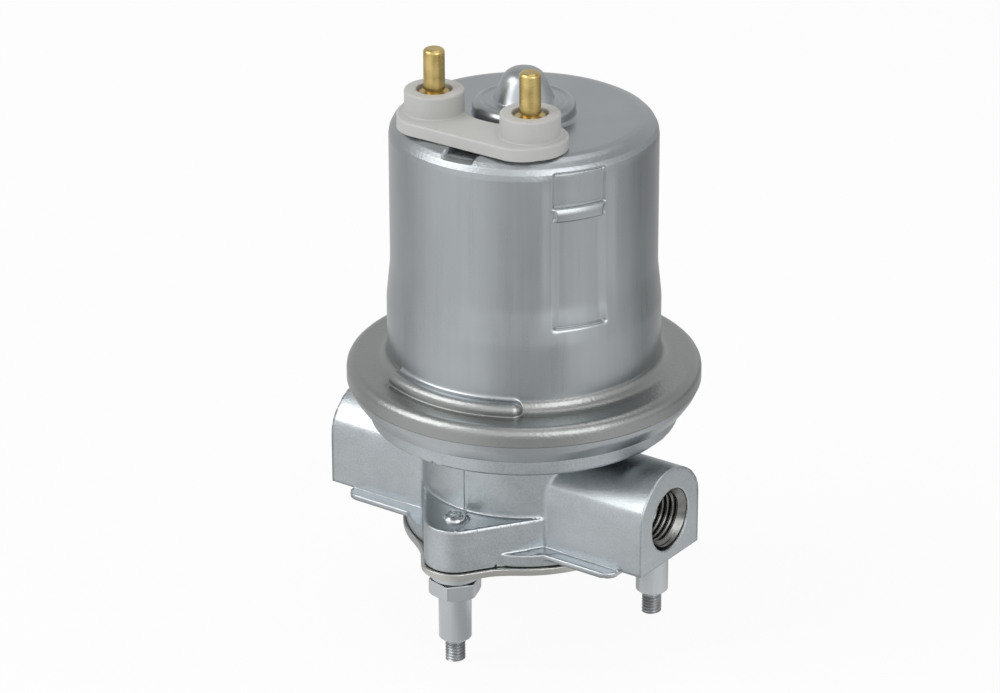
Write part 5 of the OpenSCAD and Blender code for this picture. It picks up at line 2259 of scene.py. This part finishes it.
@dataclass
class Studio:
    """The floor, the world, the lamps and the camera.

    Attributes:
        azimuth: The camera's angle round the object, in degrees.
        elevation: Its angle above the horizon.
        distance: Its distance from the target, in metres.
        target: Height of the point that it looks at, in millimetres.
        lens: The camera's focal length, in millimetres.
        shift: How far its picture is shifted sideways.
        floor_z: Height of the floor, in millimetres.
        floor_r: Radius of the floor, in metres.
        floor_white: How white the floor is to the camera; the rest of it keeps the shadow.
        room: Brightness of the room as the metal sees it.
        matt: Brightness of the room for matt surfaces.
        ceiling: Heights between which the room gets duller, as the sine of the angle upwards.
        ceiling_dim: How much duller it gets.
        windows: The soft windows in the room.
        floor_front: The paler floor in front.
        floor_dull: The duller floor at the back.
        world_front: The window high in front.
        world_dull: The duller wall at the left.
        lamps: The lamps.
    """

    azimuth: float = 35.05
    elevation: float = 24.15
    distance: float = 1.0
    target: float = 46.5
    lens: float = 151.3
    shift: float = -0.02405
    floor_z: float = -24.65
    floor_r: float = 3.5
    floor_white: float = 0.93
    room: float = 0.6
    matt: float = 0.5
    ceiling: Span = (0.4, 0.75)
    ceiling_dim: float = 0.2
    windows: tuple[Patch, ...] = (
        Patch((-0.39, -0.92, 0), (0.62, 1.0), 0.42),
        Patch((0.98, 0.2, 0), (0.7, 1.0), 0.36),
        Patch((-0.57, 0.82, 0), (0.2, 1.0), 0.12),
    )
    floor_front: Patch = Patch((0.5, -0.87, 0), (0.2, 1.0), 0.7, (0.45, 1.1))
    floor_dull: Patch = Patch((0.6, 0.8, 0), (0.3, 0.95), -0.3, (0.04, 0.3))
    world_front: Patch = Patch((0.54, -0.77, 0.34), (0.35, 1.0), 0.8, (0.02, 0.25))
    world_dull: Patch = Patch((-0.39, -0.92, 0), (0.45, 0.95), -0.2)
    lamps: tuple[Lamp, ...] = (
        Lamp("key", (-0.9, -1.1, 1.1), (1.3, 1.3), 16),
        Lamp("fill", (1.5, -0.6, 0.7), (1.1, 1.4), 8),
        Lamp("top", (0.1, 0.35, 1.6), (1.0, 1.0), 4),
    )

    def camera(self) -> None:
        """Set up the camera as it stood for the photograph."""
        data = bpy.data.cameras.new("camera")
        data.lens, data.sensor_width, data.shift_x = self.lens, 36.0, self.shift
        data.clip_start, data.clip_end = 0.05, 50.0
        camera = bpy.data.objects.new("camera", data)
        bpy.context.scene.collection.objects.link(camera)
        a, e = math.radians(self.azimuth), math.radians(self.elevation)
        way = Vector((math.sin(a) * math.cos(e), -math.cos(a) * math.cos(e), math.sin(e)))
        target = Vector((0, 0, self.target * MM))
        camera.location = target + way * self.distance
        camera.rotation_euler = way.to_track_quat("Z", "Y").to_euler()
        bpy.context.scene.camera = camera

    def floor(self) -> None:
        """Lay the pale floor; it is white to the camera and keeps the shadow."""
        steps = 64
        angle = np.linspace(0, 2 * math.pi, steps, endpoint=False)
        mesh = bpy.data.meshes.new("floor")
        ring = ring_points(self.floor_r, angle, self.floor_z * MM)
        mesh.from_pydata(ring.tolist(), [], [list(range(steps))])
        floor = bpy.data.objects.new("floor", mesh)
        bpy.context.scene.collection.objects.link(floor)
        material = bpy.data.materials.new("pale_floor")
        material.use_nodes = True
        material.node_tree.nodes.clear()
        graph = Graph(material.node_tree)
        soft = graph.value("ShaderNodeBsdfDiffuse", None, {"Color": (0.8, 0.8, 0.8, 1)})
        camera, glossy, through = graph.rays()
        flat = graph.vector("MULTIPLY", graph.place(), (1, 1, 0))
        away = graph.vector("LENGTH", flat)
        way = graph.vector("NORMALIZE", flat)
        glow = self.glow(way) + self.floor_front.light(way, away) + self.floor_dull.light(way, away)
        level = glossy * glow + (1 - glossy)
        white = graph.value("ShaderNodeEmission", None, {"Color": (1, 1, 1, 1), "Strength": level})
        seen = camera.at_least(glossy).at_least(through)
        mixed = graph.value("ShaderNodeMixShader", None, {0: seen * self.floor_white, 1: soft, 2: white})
        graph.node("ShaderNodeOutputMaterial", None, {"Surface": mixed})
        mesh.materials.append(material)

    def glow(self, way: Value) -> Value:
        """Return how bright the room is in a level direction of length one.

        Args:
            way: The direction.

        Returns:
            The brightness.
        """
        level = self.room
        for window in self.windows:
            level = window.light(way) + level
        return level

    def world(self) -> None:
        """Surround the object with white where it is seen, and a softer level for its light."""
        world = bpy.data.worlds.new("surroundings")
        bpy.context.scene.world = world
        world.use_nodes = True
        world.node_tree.nodes.clear()
        graph = Graph(world.node_tree)
        camera, glossy, through = graph.rays()
        seen = camera.at_least(through)
        way = graph.vector("NORMALIZE", graph.place())
        height = graph.axes(way)[2]
        level = self.glow(way) * (1 - height.ramp(*self.ceiling) * self.ceiling_dim)
        level = level + self.world_front.light(way, height) + self.world_dull.light(way)
        strength = seen + (1 - seen) * (glossy * level + (1 - glossy) * self.matt)
        light = graph.value("ShaderNodeBackground", None, {"Color": (1, 1, 1, 1), "Strength": strength})
        graph.node("ShaderNodeOutputWorld", None, {"Surface": light})

    def build(self) -> None:
        """Set up the whole studio."""
        self.camera()
        self.floor()
        self.world()
        for lamp in self.lamps:
            lamp.light()
        bpy.context.scene.view_settings.view_transform = "Standard"


def main() -> None:
    """Build every sub-assembly in order and report it."""
    logging.basicConfig(level=logging.INFO, format="%(message)s")
    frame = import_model()
    Nodes(frame).dress()
    MotorCan().build()
    PumpCasting().build()
    BottomCover().build()
    Terminals().build()
    Studs().build()
    Springs().build()
    Studio().build()


if __name__ == "__main__":
    main()
